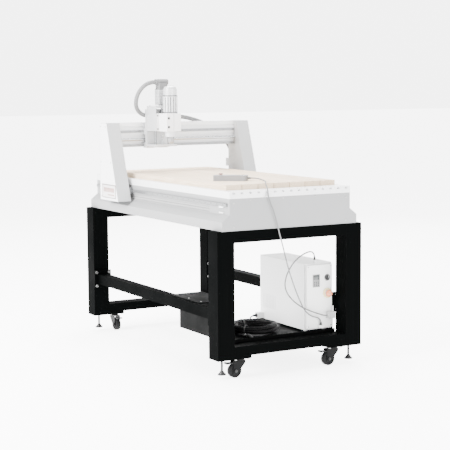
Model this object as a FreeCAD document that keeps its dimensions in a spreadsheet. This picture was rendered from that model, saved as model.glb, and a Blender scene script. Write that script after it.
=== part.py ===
"""CNC router on a rolling stand: moving gantry, three ball-screw axes, T-slot bed,
floor-standing controller and hand pendant.

Millimetres, +Z up, +X to the right of someone at the front end, +Y towards the rear.
The origin is on the floor, under the middle of the machine.
"""
import FreeCAD, Part
import Sketcher
import math
import os
import re

App = FreeCAD
V = App.Vector
doc = App.newDocument("cnc_router")

# ---------------------------------------------------------------- driving sizes
SIZES = {
    # stand: two welded end frames, two bolted stretchers, a hung shelf
    "stand_width": 900, "stand_length": 1684, "stand_top": 780, "leg_size": 100,
    "tube_wall": 4, "top_beam_height": 62,
    "bottom_beam_height": 52, "corner_plate_thick": 15, "corner_plate_length": 200,
    "vent_radius": 5,
    "stretcher_size": 60, "stretcher_mid": 336, "stretcher_wall": 3,
    "end_plate_size": 110, "end_plate_thick": 10, "bolt_spread": 42, "bolt_radius": 5,
    "bolt_head_radius": 8.5, "bolt_head_height": 6, "bolt_reach": 12,
    "shelf_top": 180, "shelf_thick": 3, "shelf_length": 532, "shelf_wall_gap": 50,
    "shelf_lip": 140, "shelf_hook": 60,
    # castors and levelling feet
    "castor_inset": 155, "wheel_radius": 37.5, "crown_clear": 14.7, "wheel_width": 28,
    "wheel_trail": 31, "axle_radius": 5, "plate_long": 95, "plate_short": 80,
    "castor_plate_thick": 3, "race_radius": 26, "race_height": 9, "fork_thick": 3,
    "fork_gap": 2.5, "cheek_overhang": 14, "pedal_width": 34, "pedal_lift": 4.5, "pedal_length": 40,
    "foot_inset": 49, "foot_disc_radius": 22, "foot_lift": 22, "foot_disc_height": 6,
    "foot_cone_height": 16, "foot_rod_radius": 6, "foot_rod_top": 190, "nut_radius": 11,
    "nut_height": 9,
    # machine base; heights from here to the hoses are above the top of the stand
    "base_inset": 2, "base_width": 750, "channel_reach": 44, "channel_wall_top": 48,
    "channel_slope_top": 83, "base_wall": 6, "bed_underside": 168, "slot_low": 86,
    "slot_high": 116, "rib_low": 134, "rib_thick": 12, "rib_count": 5,
    "plate_thick": 36, "slot_pitch": 50, "slot_count": 15, "slot_mouth": 9,
    "slot_mouth_depth": 6, "slot_room": 17, "slot_room_depth": 8, "plate_groove": 3,
    "slat_count": 7, "slat_width": 94, "slat_gap": 4, "slat_thick": 28,
    "board_front_margin": 96, "board_back_margin": 140,
    # Y drive
    "y_rail_mid": 135, "rail_size": 15, "rail_height": 13, "rail_end_gap": 20,
    "y_screw_mid": 100, "y_screw_radius": 10, "y_screw_front_gap": 28, "y_screw_back_gap": 88,
    "y_travel_front": 1000, "y_travel_back": 250, "slot_spare": 10, "pillow_thick": 20, "pillow_half": 28, "motor_half": 28.5, "y_motor_length": 66,
    # gantry
    "cheek_gap": 26, "cheek_thick": 85, "cheek_low": 75, "cheek_high": 531,
    "cheek_back": 540, "cheek_front_low": 290, "cheek_front_high": 440, "cheek_wall": 5,
    "tie_front": 385, "tie_back": 445, "tie_height": 24, "nut_reach": 25,
    "block_front_a": 318, "block_front_b": 462, "block_long": 50, "block_high": 34,
    "beam_front": 470, "beam_depth": 60, "beam_low": 385, "beam_high": 531,
    "beam_slot": 8, "beam_slot_a": 120, "beam_slot_b": 66, "beam_slot_c": 22, "beam_slot_depth": 8, "beam_skin": 7,
    "x_rail_high": 478, "x_rail_low": 394, "x_screw_mid": 429, "x_screw_y": 455,
    "x_screw_radius": 8, "x_motor_length": 66,
    # carriage and Z axis
    "head_x": -158, "carriage_half": 75, "carriage_front": 418, "carriage_thick": 16,
    "carriage_low": 380, "carriage_high": 611, "x_block_long": 56, "x_block_high": 32,
    "x_block_inset": 4, "z_half": 70, "z_front": 300, "z_shell_low": 482,
    "z_top": 631, "z_top_thick": 12, "z_bottom": 390, "z_shell_wall": 4,
    "rod_radius": 8, "rod_spread": 44, "rod_y": 358, "z_screw_radius": 6,
    "z_motor_half": 30, "z_motor_y": 358, "z_motor_boss": 7, "z_motor_height": 94,
    "hose_block_height": 36, "sleeve_radius": 18,
    "slide_low": 482, "slide_high": 587, "slide_half": 62, "slide_front": 306,
    "slide_back": 398, "clamp_half": 46, "clamp_front": 200, "spindle_y": 246,
    "neck_radius": 30, "clamp_slit": 3, "nose_radius": 35, "nose_height": 32,
    "spindle_radius": 43, "spindle_shoulder": 690, "spindle_top": 748,
    "fin_depth": 4, "fin_count": 16, "collet_radius": 21, "collet_height": 40,
    "shank_radius": 4, "shank_depth": 32, "spindle_shaft_radius": 10,
    "spindle_shaft_reach": 18,
    # hoses
    "hose_radius": 13, "hose_bracket_low": 552, "hose_bracket_high": 588,
    "hose_bracket_half": 18, "gland_box_low": 240, "gland_box_high": 290,
    # controller; heights are above the shelf
    "cabinet_gap": 7, "cabinet_width": 180, "cabinet_front_gap": 17, "cabinet_length": 480,
    "cabinet_high": 377, "cabinet_foot": 12, "cabinet_round": 14, "cabinet_wall": 3,
    "panel_thick": 12, "panel_inset": 8, "panel_seat": 10, "control_inset": 42, "estop_z": 210,
    "estop_base_radius": 26, "estop_base_height": 10, "estop_head_radius": 19,
    "estop_travel": 6, "knob_z": 296, "knob_radius": 14,
    "screen_inset": 66, "screen_z": 282,
    # pendant
    "pendant_x": -160, "pendant_y": -475, "pendant_long": 186, "pendant_wide": 76,
    "pendant_thick": 30, "pendant_turn": -38, "pendant_button_radius": 11,
    # cords
    "cord_radius": 2.5, "lead_radius": 3, "cable_radius": 4, "coil_x": -62,
    "coil_y": -560, "coil_ring": 112, "coil_thick": 28,
    # clearances
    "running": 0.3, "seat": 0.3, "free": 1.5,
}
sheet = doc.addObject("Spreadsheet::Sheet", "Sizes")
for row, (alias, number) in enumerate(SIZES.items(), start=1):
    sheet.set(f"A{row}", alias)
    sheet.set(f"B{row}", str(number))
    sheet.setAlias(f"B{row}", alias)
doc.recompute()


def size(alias):
    """The number that the sheet holds under an alias."""
    return float(sheet.get(alias))


def bound(text):
    """An expression in which every alias names its cell of the sheet."""
    return re.sub(r"[a-z][a-z_]+", lambda word: "Sizes." + word.group(0)
                  if word.group(0) in SIZES else word.group(0), str(text))


def bind(item, pairs):
    """Bind properties of an object to expressions of the sheet."""
    for prop, text in pairs.items():
        item.setExpression(prop, bound(text))


# ---------------------------------------------------------------- small makers
datum = "0"     # heights are measured from the floor, then from the stand's top or the shelf


def box(x, y, z):
    """A block between two planes each way; every plane is an expression."""
    item = doc.addObject("Part::Box", "Block")
    for (low, high), side in zip((x, y, z), ("Length", "Width", "Height")):
        bind(item, {side: f"({high}) - ({low})"})
    bind(item, {"Placement.Base.x": x[0], "Placement.Base.y": y[0],
                "Placement.Base.z": f"{datum} + {z[0]}"})
    return item


AXIS_TURN = {"X": App.Rotation(V(0, 1, 0), 90), "Y": App.Rotation(V(1, 0, 0), -90),
             "Z": App.Rotation()}


def rod(axis, radius, low, high, x=0, y=0, z=0, end_radius=None):
    """A cylinder, or a cone, from low to high along an axis, through a point."""
    item = doc.addObject("Part::Cylinder" if end_radius is None else "Part::Cone", "Round")
    item.Placement = App.Placement(V(), AXIS_TURN[axis])
    start = {"X": (low, y, z), "Y": (x, low, z), "Z": (x, y, low)}[axis]
    bind(item, {"Height": f"({high}) - ({low})"})
    if end_radius is None:
        bind(item, {"Radius": radius})
    else:
        bind(item, {"Radius1": radius, "Radius2": end_radius})
    bind(item, {"Placement.Base.x": start[0], "Placement.Base.y": start[1],
                "Placement.Base.z": f"{datum} + {start[2]}"})
    return item


def join(items):
    """Several shapes as one: what touches becomes one solid, the rest stays apart."""
    if len(items) == 1:
        return items[0]
    item = doc.addObject("Part::MultiFuse", "Joined")
    item.Shapes = items
    return item


def cut(base, tools):
    """A shape less its tools."""
    item = doc.addObject("Part::Cut", "Trimmed")
    item.Base = base
    item.Tool = join(tools)
    return item


def rounded(base, radius, edges):
    """Fillets of one radius on numbered edges of a block."""
    item = doc.addObject("Part::Fillet", "Rounded")
    item.Base = base
    item.Edges = [(edge, size(radius), size(radius)) for edge in edges]
    return item


UPRIGHT_EDGES = (1, 3, 5, 7)


def body_plane(body, role):
    """One of a body's own origin planes."""
    return next(f for f in body.Origin.OriginFeatures if f.Role == role)


def outline(body, role, points, offset=None):
    """A closed sketch through expression-bound points on an origin plane."""
    sketch = body.newObject("Sketcher::SketchObject", "Outline")
    sketch.AttachmentSupport = (body_plane(body, role), "")
    sketch.MapMode = "FlatFace"
    if offset is not None:
        bind(sketch, {"AttachmentOffset.Base.z": offset})
    count = len(points)
    ring = [V(100 * math.cos(2 * math.pi * i / count), 100 * math.sin(2 * math.pi * i / count), 0)
            for i in range(count)]
    for i in range(count):
        sketch.addGeometry(Part.LineSegment(ring[i], ring[(i + 1) % count]), False)
    for i in range(count):
        sketch.addConstraint(Sketcher.Constraint("Coincident", i, 2, (i + 1) % count, 1))
    for i, (across, up) in enumerate(points):
        for kind, text in (("DistanceX", across), ("DistanceY", up)):
            index = sketch.addConstraint(Sketcher.Constraint(kind, -1, 1, i, 1, 1.0))
            bind(sketch, {f"Constraints[{index}]": text})
    return sketch


def pad(body, sketch, length, midplane=False, reverse=False):
    feature = body.newObject("PartDesign::Pad", "Pad")
    feature.Profile = sketch
    feature.Midplane = midplane
    feature.Reversed = reverse
    bind(feature, {"Length": length})
    return feature


def pocket(body, sketch, length, midplane=False, reverse=False):
    doc.recompute()
    before = body.Shape.Volume
    feature = body.newObject("PartDesign::Pocket", "Pocket")
    feature.Profile = sketch
    feature.Midplane = midplane
    feature.Reversed = reverse
    bind(feature, {"Length": length})
    doc.recompute()
    if body.Shape.Volume >= before:
        raise RuntimeError("a pocket cuts nothing")
    return feature


def revolve(body, points):
    """A solid of revolution about the body's own upright axis; points are (radius, height)."""
    sketch = outline(body, "XZ_Plane", points)
    feature = body.newObject("PartDesign::Revolution", "Turned")
    feature.Profile = sketch
    feature.ReferenceAxis = (sketch, ["V_Axis"])
    feature.Angle = 360
    return feature


def new_body():
    body = doc.addObject("PartDesign::Body", "Body")
    bind(body, {"Placement.Base.z": datum})
    return body


NODES = []


def node(label, item):
    """Name a finished sub-part; its label is the name of its file."""
    item.Label = label
    NODES.append(item)
    return item


def place(item, x=None, y=None, z=None, turn=0):
    """Put a sub-part at an expression-bound point, turned about the upright axis."""
    item.Placement = App.Placement(V(), App.Rotation(V(0, 0, 1), turn))
    bind(item, {f"Placement.Base.{base}": text
                for base, text in zip("xyz", (x, y, z)) if text is not None})
    return item


# ---------------------------------------------------------------- stand
HALF_W = "stand_width / 2"
HALF_L = "stand_length / 2"
CASTOR_X = f"({HALF_W} - castor_inset)"
CASTOR_Y = f"({HALF_L} - leg_size / 2)"
FOOT_X = f"({HALF_W} - foot_inset)"
STRETCHER_X = f"({HALF_W} - end_plate_size / 2)"
SHELF_SIDE = f"({STRETCHER_X} - shelf_wall_gap)"
CROWN_TOP = "(2 * wheel_radius + crown_clear + fork_thick)"
RACE_LOW = f"({CROWN_TOP} + running)"
PLATE_LOW = f"({RACE_LOW} + race_height)"
UNDERSIDE = f"({PLATE_LOW} + castor_plate_thick + corner_plate_thick)"


def tube(x, y, z, wall, along):
    """A hollow square tube with closed ends, vented through its underside."""
    spans = []
    for axis, (low, high) in zip("XYZ", (x, y, z)):
        spans.append((f"({low}) + {wall}", f"({high}) - {wall}"))
    outer, inner = box(x, y, z), box(*spans)
    mids = [f"(({low}) + ({high})) / 2" for low, high in (x, y, z)]
    if along == "Z":
        return outer, inner, None
    vent = rod("Z", "vent_radius", f"({z[0]}) - 1", f"({z[0]}) + {wall} + 1", x=mids[0], y=mids[1])
    return outer, inner, vent


def end_frame(label, side):
    """A welded end frame: two square legs, two cross beams and two thick corner plates."""
    y_outer, y_inner = f"{side} * {HALF_L}", f"{side} * ({HALF_L} - leg_size)"
    y_span = (y_outer, y_inner) if side < 0 else (y_inner, y_outer)
    solids, voids = [], []
    for hand in (-1, 1):
        x_span = sorted_span(hand, HALF_W, f"{HALF_W} - leg_size")
        outer, inner, _ = tube(x_span, y_span, (UNDERSIDE, "stand_top"), "tube_wall", "Z")
        solids.append(outer)
        voids.append(inner)
        plate_span = sorted_span(hand, HALF_W, f"{HALF_W} - corner_plate_length")
        plate_z = (f"{UNDERSIDE} - corner_plate_thick", UNDERSIDE)
        solids.append(box(plate_span, y_span, plate_z))
        voids.append(rod("Z", "foot_rod_radius + running", f"{UNDERSIDE} - 2 * corner_plate_thick",
                         f"{UNDERSIDE} + corner_plate_thick",
                         x=f"{hand} * {FOOT_X}", y=f"{side} * {CASTOR_Y}"))
    reach = (f"-({HALF_W} - leg_size)", f"{HALF_W} - leg_size")
    for z_span in (("stand_top - top_beam_height", "stand_top"),
                   (UNDERSIDE, f"{UNDERSIDE} + bottom_beam_height")):
        outer, inner, vent = tube(reach, y_span, z_span, "tube_wall", "X")
        solids.append(outer)
        voids += [inner, vent]
    return node(label, cut(join(solids), voids))


def sorted_span(hand, far, near):
    """The span between two distances from the middle plane, on one side of it."""
    return (f"{near}", f"{far}") if hand > 0 else (f"-({far})", f"-({near})")


end_frame("front_end_frame", -1)
end_frame("rear_end_frame", 1)

STRETCHER_END = f"{HALF_L} - leg_size"
for label, hand in (("left_stretcher", -1), ("right_stretcher", 1)):
    half = "stretcher_size / 2"
    inside = f"({half} - stretcher_wall)"
    mid_x = f"{hand} * {STRETCHER_X}"
    bar = box((f"{mid_x} - {half}", f"{mid_x} + {half}"), (f"-({STRETCHER_END})", STRETCHER_END),
              (f"stretcher_mid - {half}", f"stretcher_mid + {half}"))
    bore = box((f"{mid_x} - {inside}", f"{mid_x} + {inside}"),
               (f"-({STRETCHER_END} - end_plate_thick)", f"{STRETCHER_END} - end_plate_thick"),
               (f"stretcher_mid - {inside}", f"stretcher_mid + {inside}"))
    vent = rod("Z", "vent_radius", f"stretcher_mid - {half} - 1", f"stretcher_mid - {inside} + 1", x=mid_x)
    solids, holes = [bar], [bore, vent]
    for side in (-1, 1):
        y_span = sorted_span(side, STRETCHER_END, f"{STRETCHER_END} - end_plate_thick")
        plate = "end_plate_size / 2"
        solids.append(box((f"{mid_x} - {plate}", f"{mid_x} + {plate}"), y_span,
                          (f"stretcher_mid - {plate}", f"stretcher_mid + {plate}")))
        for dx in (-1, 1):
            for dz in (-1, 1):
                holes.append(rod("Y", "bolt_radius + running",
                                 f"{y_span[0]} - 1", f"{y_span[1]} + 1",
                                 x=f"{mid_x} + {dx} * bolt_spread",
                                 z=f"stretcher_mid + {dz} * bolt_spread"))
    node(label, cut(join(solids), holes))

# Bolts of the stretcher plates, and the lock nuts of the four levelling feet.
fasteners = []
for hand in (-1, 1):
    for side in (-1, 1):
        face = f"{side} * ({STRETCHER_END} - end_plate_thick)"
        for dx in (-1, 1):
            for dz in (-1, 1):
                spot = {"x": f"{hand} * {STRETCHER_X} + {dx} * bolt_spread",
                        "z": f"stretcher_mid + {dz} * bolt_spread"}
                head = (f"{face} - bolt_head_height", face) if side > 0 else (face, f"{face} + bolt_head_height")
                shank = (face, f"{face} + end_plate_thick") if side > 0 else (f"{face} - end_plate_thick", face)
                fasteners.append(join([rod("Y", "bolt_head_radius", *head, **spot),
                                       rod("Y", "bolt_radius", *shank, **spot)]))
        nut = doc.addObject("Part::Prism", "Nut")
        nut.Polygon = 6
        bind(nut, {"Circumradius": "nut_radius", "Height": "nut_height",
                   "Placement.Base.x": f"{hand} * {FOOT_X}", "Placement.Base.y": f"{side} * {CASTOR_Y}",
                   "Placement.Base.z": f"{UNDERSIDE} - corner_plate_thick - nut_height"})
        fasteners.append(cut(nut, [rod("Z", "foot_rod_radius + running",
                                       f"{UNDERSIDE} - 3 * corner_plate_thick", UNDERSIDE,
                                       x=f"{hand} * {FOOT_X}", y=f"{side} * {CASTOR_Y}")]))
node("stand_fasteners", join(fasteners))

# The shelf: a folded tray between the stretchers, hooked over them at both sides.
shelf_front = f"{HALF_L} - leg_size - seat"
SHELF_BACK = f"({STRETCHER_END} - shelf_length)"
hook_top = "stretcher_mid + stretcher_size / 2 + shelf_thick"
shelf = [box((f"-{SHELF_SIDE}", SHELF_SIDE), (f"-({shelf_front})", f"-{SHELF_BACK}"),
             ("shelf_top - shelf_thick", "shelf_top"))]
for hand in (-1, 1):
    wall = sorted_span(hand, SHELF_SIDE, f"{SHELF_SIDE} - shelf_thick")
    plate_clear = "(end_plate_thick + bolt_head_height + 4)"
    shelf.append(box(wall, (f"-({shelf_front} - {plate_clear})", f"-{SHELF_BACK}"),
                     ("shelf_top - shelf_thick", hook_top)))
    inner_lip = "shelf_lip" if hand < 0 else "shelf_thick"
    hook = sorted_span(hand, f"{SHELF_SIDE} + shelf_hook", f"{SHELF_SIDE} - {inner_lip}")
    shelf.append(box(hook, (f"-({shelf_front} - 190)", f"-{SHELF_BACK}"),
                     (f"{hook_top} - shelf_thick", hook_top)))
shelf.append(box((f"-{SHELF_SIDE}", SHELF_SIDE), (f"-({shelf_front})", f"-({shelf_front} - shelf_thick)"),
                 ("shelf_top - shelf_thick", "shelf_top + 10")))
node("controller_shelf", join(shelf))

# ---------------------------------------------------------------- castors
CASTORS = {"front_left": (-1, -1, 0), "front_right": (1, -1, 0),
           "rear_left": (-1, 1, 90), "rear_right": (1, 1, 90)}

top_plates = []
for hand, side, _ in CASTORS.values():
    spot = {"x": f"{hand} * {CASTOR_X}", "y": f"{side} * {CASTOR_Y}"}
    plate = box((f"{spot['x']} - plate_long / 2", f"{spot['x']} + plate_long / 2"),
                (f"{spot['y']} - plate_short / 2", f"{spot['y']} + plate_short / 2"),
                (PLATE_LOW, f"{PLATE_LOW} + castor_plate_thick"))
    race = rod("Z", "race_radius", RACE_LOW, PLATE_LOW, **spot)
    top_plates.append(join([plate, race]))
node("castor_top_plates", join(top_plates))


def castor_fork():
    """A pressed fork whose cheeks trail back from the swivel to the wheel's axle."""
    cheek_in = "wheel_width / 2 + fork_gap"
    cheek_out = f"{cheek_in} + fork_thick"
    crown = box(("-race_radius", "race_radius"), (f"-({cheek_out})", cheek_out),
                (f"{CROWN_TOP} - fork_thick", CROWN_TOP))
    pieces = [crown]
    for hand in (-1, 1):
        body = new_body()
        sketch = outline(body, "XZ_Plane", [
            ("-wheel_trail - cheek_overhang", CROWN_TOP), ("race_radius", CROWN_TOP),
            ("race_radius", f"{CROWN_TOP} - 14"),
            ("-wheel_trail + 3 * axle_radius", "wheel_radius - 1.6 * axle_radius"),
            ("-wheel_trail - 2 * axle_radius", "wheel_radius - 1.6 * axle_radius"),
            ("-wheel_trail - cheek_overhang", "wheel_radius + 2 * axle_radius")])
        pad(body, sketch, "fork_thick")
        body.Placement = App.Placement(V(), App.Rotation())
        offset = f"-({cheek_in})" if hand < 0 else f"{cheek_in} + fork_thick"
        bind(body, {"Placement.Base.y": offset})
        pieces.append(body)
    axle = rod("Y", "axle_radius", f"-({cheek_out} + 3)", f"{cheek_out} + 3",
               x="-wheel_trail", z="wheel_radius")
    return join(pieces + [axle])


def castor_wheel():
    """A tyre on a hub, turned about the axle and bored to run on it."""
    edge = "wheel_width / 2"
    tyre = rod("Y", "wheel_radius", f"-({edge} - 3)", f"{edge} - 3")
    shoulders = [rod("Y", "wheel_radius - 3", f"{edge} - 3", edge),
                 rod("Y", "wheel_radius - 3", f"-({edge})", f"-({edge} - 3)")]
    hub = rod("Y", "2 * axle_radius + 2", f"-({edge} + fork_gap - running)",
              f"{edge} + fork_gap - running")
    dish = [cut(rod("Y", "wheel_radius - 9", f"{edge} - 4", f"{edge} + 1"),
                [rod("Y", "2 * axle_radius + 4", f"{edge} - 5", f"{edge} + 2")]),
            cut(rod("Y", "wheel_radius - 9", f"-({edge} + 1)", f"-({edge} - 4)"),
                [rod("Y", "2 * axle_radius + 4", f"-({edge} + 2)", f"-({edge} - 5)")])]
    bore = rod("Y", "axle_radius + running", f"-({edge} + 5)", f"{edge} + 5")
    return cut(join([tyre] + shoulders + [hub]), dish + [bore])


PEDAL_PIVOT = ("-wheel_trail - 6", "2 * wheel_radius + pedal_lift")


def castor_brake():
    """A foot pedal hinged on a pin between the fork's cheeks, above the wheel."""
    half = "(wheel_width / 2 + fork_gap - running)"
    pin = rod("Y", "3", f"-{half}", half)
    arm = box(("-pedal_length", "2"), ("-pedal_width / 2 + 2", "pedal_width / 2 - 2"), ("-2.5", "2.5"))
    tread = box(("-pedal_length - 8", "-pedal_length + 4"), ("-pedal_width / 2", "pedal_width / 2"),
                ("-2.5", "4.5"))
    return join([pin, arm, tread])


for corner, (hand, side, turn) in CASTORS.items():
    here = {"x": f"{hand} * {CASTOR_X}", "y": f"{side} * {CASTOR_Y}"}
    node(f"castor_fork_{corner}", place(castor_fork(), **here, z="0", turn=turn))
    trail_x, trail_y = ("-wheel_trail", "0") if turn == 0 else ("0", "-wheel_trail")
    node(f"castor_wheel_{corner}",
         place(castor_wheel(), x=f"{here['x']} + {trail_x}", y=f"{here['y']} + {trail_y}",
               z="wheel_radius", turn=turn))
    pedal_x, pedal_y = (PEDAL_PIVOT[0], "0") if turn == 0 else ("0", PEDAL_PIVOT[0])
    node(f"castor_brake_{corner}",
         place(castor_brake(), x=f"{here['x']} + {pedal_x}", y=f"{here['y']} + {pedal_y}",
               z=PEDAL_PIVOT[1], turn=turn))
    foot_low = "foot_lift"
    cone_low = f"{foot_low} + foot_disc_height"
    rod_low = f"{cone_low} + foot_cone_height"
    spot = {"x": f"{hand} * {FOOT_X}", "y": here["y"]}
    node(f"levelling_foot_{corner}", join([
        rod("Z", "foot_disc_radius", foot_low, cone_low, **spot),
        rod("Z", "foot_disc_radius - 4", cone_low, rod_low, end_radius="foot_rod_radius + 2", **spot),
        rod("Z", "foot_rod_radius", rod_low, "foot_rod_top", **spot)]))

# ---------------------------------------------------------------- machine base
datum = "stand_top"
HALF_B = "base_width / 2"
BASE_LENGTH = "(stand_length - 2 * base_inset)"
CHEEK_INNER = f"({HALF_B} + cheek_gap)"
BASE_END = f"{BASE_LENGTH} / 2"
BOARD_FRONT = f"({BASE_LENGTH} / 2 - board_front_margin)"
BOARD_BACK = f"({BASE_LENGTH} / 2 - board_back_margin)"
SCREW_FRONT = f"({BASE_LENGTH} / 2 - y_screw_front_gap)"
SCREW_BACK = f"({BASE_LENGTH} / 2 - y_screw_back_gap)"
FLOOR_TOP = "base_wall"
BED_TOP = "(bed_underside + plate_thick)"
BOARD_TOP = "(bed_underside + plate_thick + slat_thick)"

tray = new_body()
pad(tray, outline(tray, "XZ_Plane", [
    (f"-{HALF_B} - channel_reach", "0"), (f"{HALF_B} + channel_reach", "0"),
    (f"{HALF_B} + channel_reach", "channel_wall_top"), (HALF_B, "channel_slope_top"),
    (HALF_B, "bed_underside"), (f"-{HALF_B}", "bed_underside"),
    (f"-{HALF_B}", "channel_slope_top"), (f"-{HALF_B} - channel_reach", "channel_wall_top")]),
    BASE_LENGTH, midplane=True)
hollow = f"{BASE_LENGTH} - 2 * base_wall"
pocket(tray, outline(tray, "XZ_Plane", [
    (f"-{HALF_B} + base_wall", FLOOR_TOP), (f"{HALF_B} - base_wall", FLOOR_TOP),
    (f"{HALF_B} - base_wall", "bed_underside + 1"), (f"-{HALF_B} + base_wall", "bed_underside + 1")]),
    hollow, midplane=True)
for hand in (-1, 1):
    outer = f"{hand} * ({HALF_B} + channel_reach - base_wall)"
    inner = f"{hand} * {HALF_B}"
    pocket(tray, outline(tray, "XZ_Plane", [
        (inner, FLOOR_TOP), (outer, FLOOR_TOP), (outer, "channel_wall_top - base_wall / 2"),
        (inner, "channel_slope_top - 1.5 * base_wall")]), hollow, midplane=True)
doc.recompute()

tie_run = (f"tie_front - y_travel_front - slot_spare", "tie_back + y_travel_back + slot_spare")
openings = [box((f"-{HALF_B} - 1", f"{HALF_B} + 1"), tie_run, ("slot_low", "slot_high"))]
for side in (-1, 1):
    openings.append(rod("X", "2 * vent_radius", f"-{HALF_B} - 1", f"{HALF_B} + 1",
                        y=f"{side} * {BASE_LENGTH} / 3", z=f"{FLOOR_TOP} + 3 * vent_radius"))
ribs = []
for i in range(1, SIZES["rib_count"] + 1):
    mid = f"{BASE_LENGTH} * ({i} / (rib_count + 1) - 1 / 2)"
    ribs.append(box((f"-{HALF_B} + base_wall", f"{HALF_B} - base_wall"),
                    (f"{mid} - rib_thick / 2", f"{mid} + rib_thick / 2"), ("rib_low", "bed_underside")))
pillows = []
for y_span in ((f"-{SCREW_FRONT}", f"-{SCREW_FRONT} + pillow_thick"),
               (f"{SCREW_BACK} - 2 * pillow_thick", f"{SCREW_BACK} - pillow_thick")):
    block = box(("-pillow_half", "pillow_half"), y_span, (FLOOR_TOP, "y_screw_mid + pillow_half"))
    pillows.append(cut(block, [rod("Y", "y_screw_radius + running", f"{y_span[0]} - 1",
                                   f"{y_span[1]} + 1", z="y_screw_mid")]))
node("base_housing", join([cut(tray, openings)] + ribs + pillows))

slots = []
for i in range(SIZES["slot_count"]):
    mid = f"slot_pitch * ({i} - (slot_count - 1) / 2)"
    mouth_low = f"{BED_TOP} - slot_mouth_depth"
    slots.append(box((f"{mid} - slot_mouth / 2", f"{mid} + slot_mouth / 2"),
                     (f"-{BASE_END} - 1", f"{BASE_END} + 1"), (mouth_low, f"{BED_TOP} + 1")))
    slots.append(box((f"{mid} - slot_room / 2", f"{mid} + slot_room / 2"),
                     (f"-{BASE_END} - 1", f"{BASE_END} + 1"),
                     (f"{mouth_low} - slot_room_depth", mouth_low)))
bed = box((f"-{HALF_B}", HALF_B), (f"-{BASE_END}", BASE_END), ("bed_underside", BED_TOP))
node("t_slot_plate", cut(bed, slots))

slats = []
for i in range(SIZES["slat_count"]):
    mid = f"(slat_width + slat_gap) * ({i} - (slat_count - 1) / 2)"
    slats.append(box((f"{mid} - slat_width / 2", f"{mid} + slat_width / 2"),
                     (f"-{BOARD_FRONT}", BOARD_BACK), (BED_TOP, BOARD_TOP)))
node("spoilboard", join(slats))

rails, blocks = [], []
for hand in (-1, 1):
    rails.append(box(sorted_span(hand, f"{HALF_B} + rail_height", HALF_B),
                     (f"-{BASE_END} + rail_end_gap", f"{BASE_END} - rail_end_gap"),
                     ("y_rail_mid - rail_size / 2", "y_rail_mid + rail_size / 2")))
    for start in ("block_front_a", "block_front_b"):
        block = box(sorted_span(hand, CHEEK_INNER, f"{HALF_B} + fork_gap + 1.5"),
                    (start, f"{start} + block_long"),
                    ("y_rail_mid - block_high / 2", "y_rail_mid + block_high / 2"))
        groove = box(sorted_span(hand, f"{HALF_B} + rail_height + running", f"{HALF_B}"),
                     (f"{start} - 1", f"{start} + block_long + 1"),
                     ("y_rail_mid - rail_size / 2 - running", "y_rail_mid + rail_size / 2 + running"))
        blocks.append(cut(block, [groove]))
node("y_rails", join(rails))
node("y_bearing_blocks", join(blocks))
node("y_screw", rod("Y", "y_screw_radius", f"-{SCREW_FRONT}", SCREW_BACK, z="y_screw_mid"))

motor_face = f"{SCREW_BACK} + running"
motor_end = f"{motor_face} + y_motor_length"
node("y_motor", join([
    box(("-motor_half", "motor_half"), (motor_face, motor_end),
        ("y_screw_mid - motor_half", "y_screw_mid + motor_half")),
    box(("-motor_half", "motor_half"), (f"{motor_face} + 8", f"{motor_end} - 8"),
        (FLOOR_TOP, "y_screw_mid - motor_half"))]))

# ---------------------------------------------------------------- gantry
for label, hand in (("gantry_left_housing", -1), ("gantry_right_housing", 1)):
    cheek = new_body()
    pad(cheek, outline(cheek, "YZ_Plane", [
        ("cheek_front_low", "cheek_low"), ("cheek_back", "cheek_low"),
        ("cheek_back", "cheek_high"), ("cheek_front_high", "cheek_high")]), "cheek_thick")
    pocket(cheek, outline(cheek, "YZ_Plane", [
        ("cheek_front_low + cheek_wall", "cheek_low - 1"), ("cheek_back - cheek_wall", "cheek_low - 1"),
        ("cheek_back - cheek_wall", "cheek_high - cheek_wall"),
        ("cheek_front_high + cheek_wall", "cheek_high - cheek_wall")], offset="cheek_wall"),
        "cheek_thick - 2 * cheek_wall", reverse=True)
    bind(cheek, {"Placement.Base.x": CHEEK_INNER if hand > 0 else f"-{CHEEK_INNER} - cheek_thick"})
    end_hole = rod("X", "x_screw_radius + running", f"-{CHEEK_INNER} - cheek_wall - 1",
                   f"{CHEEK_INNER} + cheek_wall + 1", y="x_screw_y", z="x_screw_mid")
    shell = cut(cheek, [end_hole])
    if hand > 0:
        gland_box = box((f"{CHEEK_INNER} + 20", f"{CHEEK_INNER} + 64"), ("cheek_back", "cheek_back + 70"),
                        ("gland_box_low", "gland_box_high"))
        shell = join([shell, gland_box])
    node(label, shell)

tie = box((f"-{CHEEK_INNER}", CHEEK_INNER), ("tie_front", "tie_back"),
          ("y_screw_mid - tie_height / 2", "y_screw_mid + tie_height / 2"))
tie_nut = rod("Y", "nut_reach", "tie_front - 8", "tie_back + 8", z="y_screw_mid")
nut_bore = rod("Y", "y_screw_radius + running", "tie_front - 9", "tie_back + 9", z="y_screw_mid")
node("gantry_cross_tie", cut(join([tie, tie_nut]), [nut_bore]))

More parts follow.
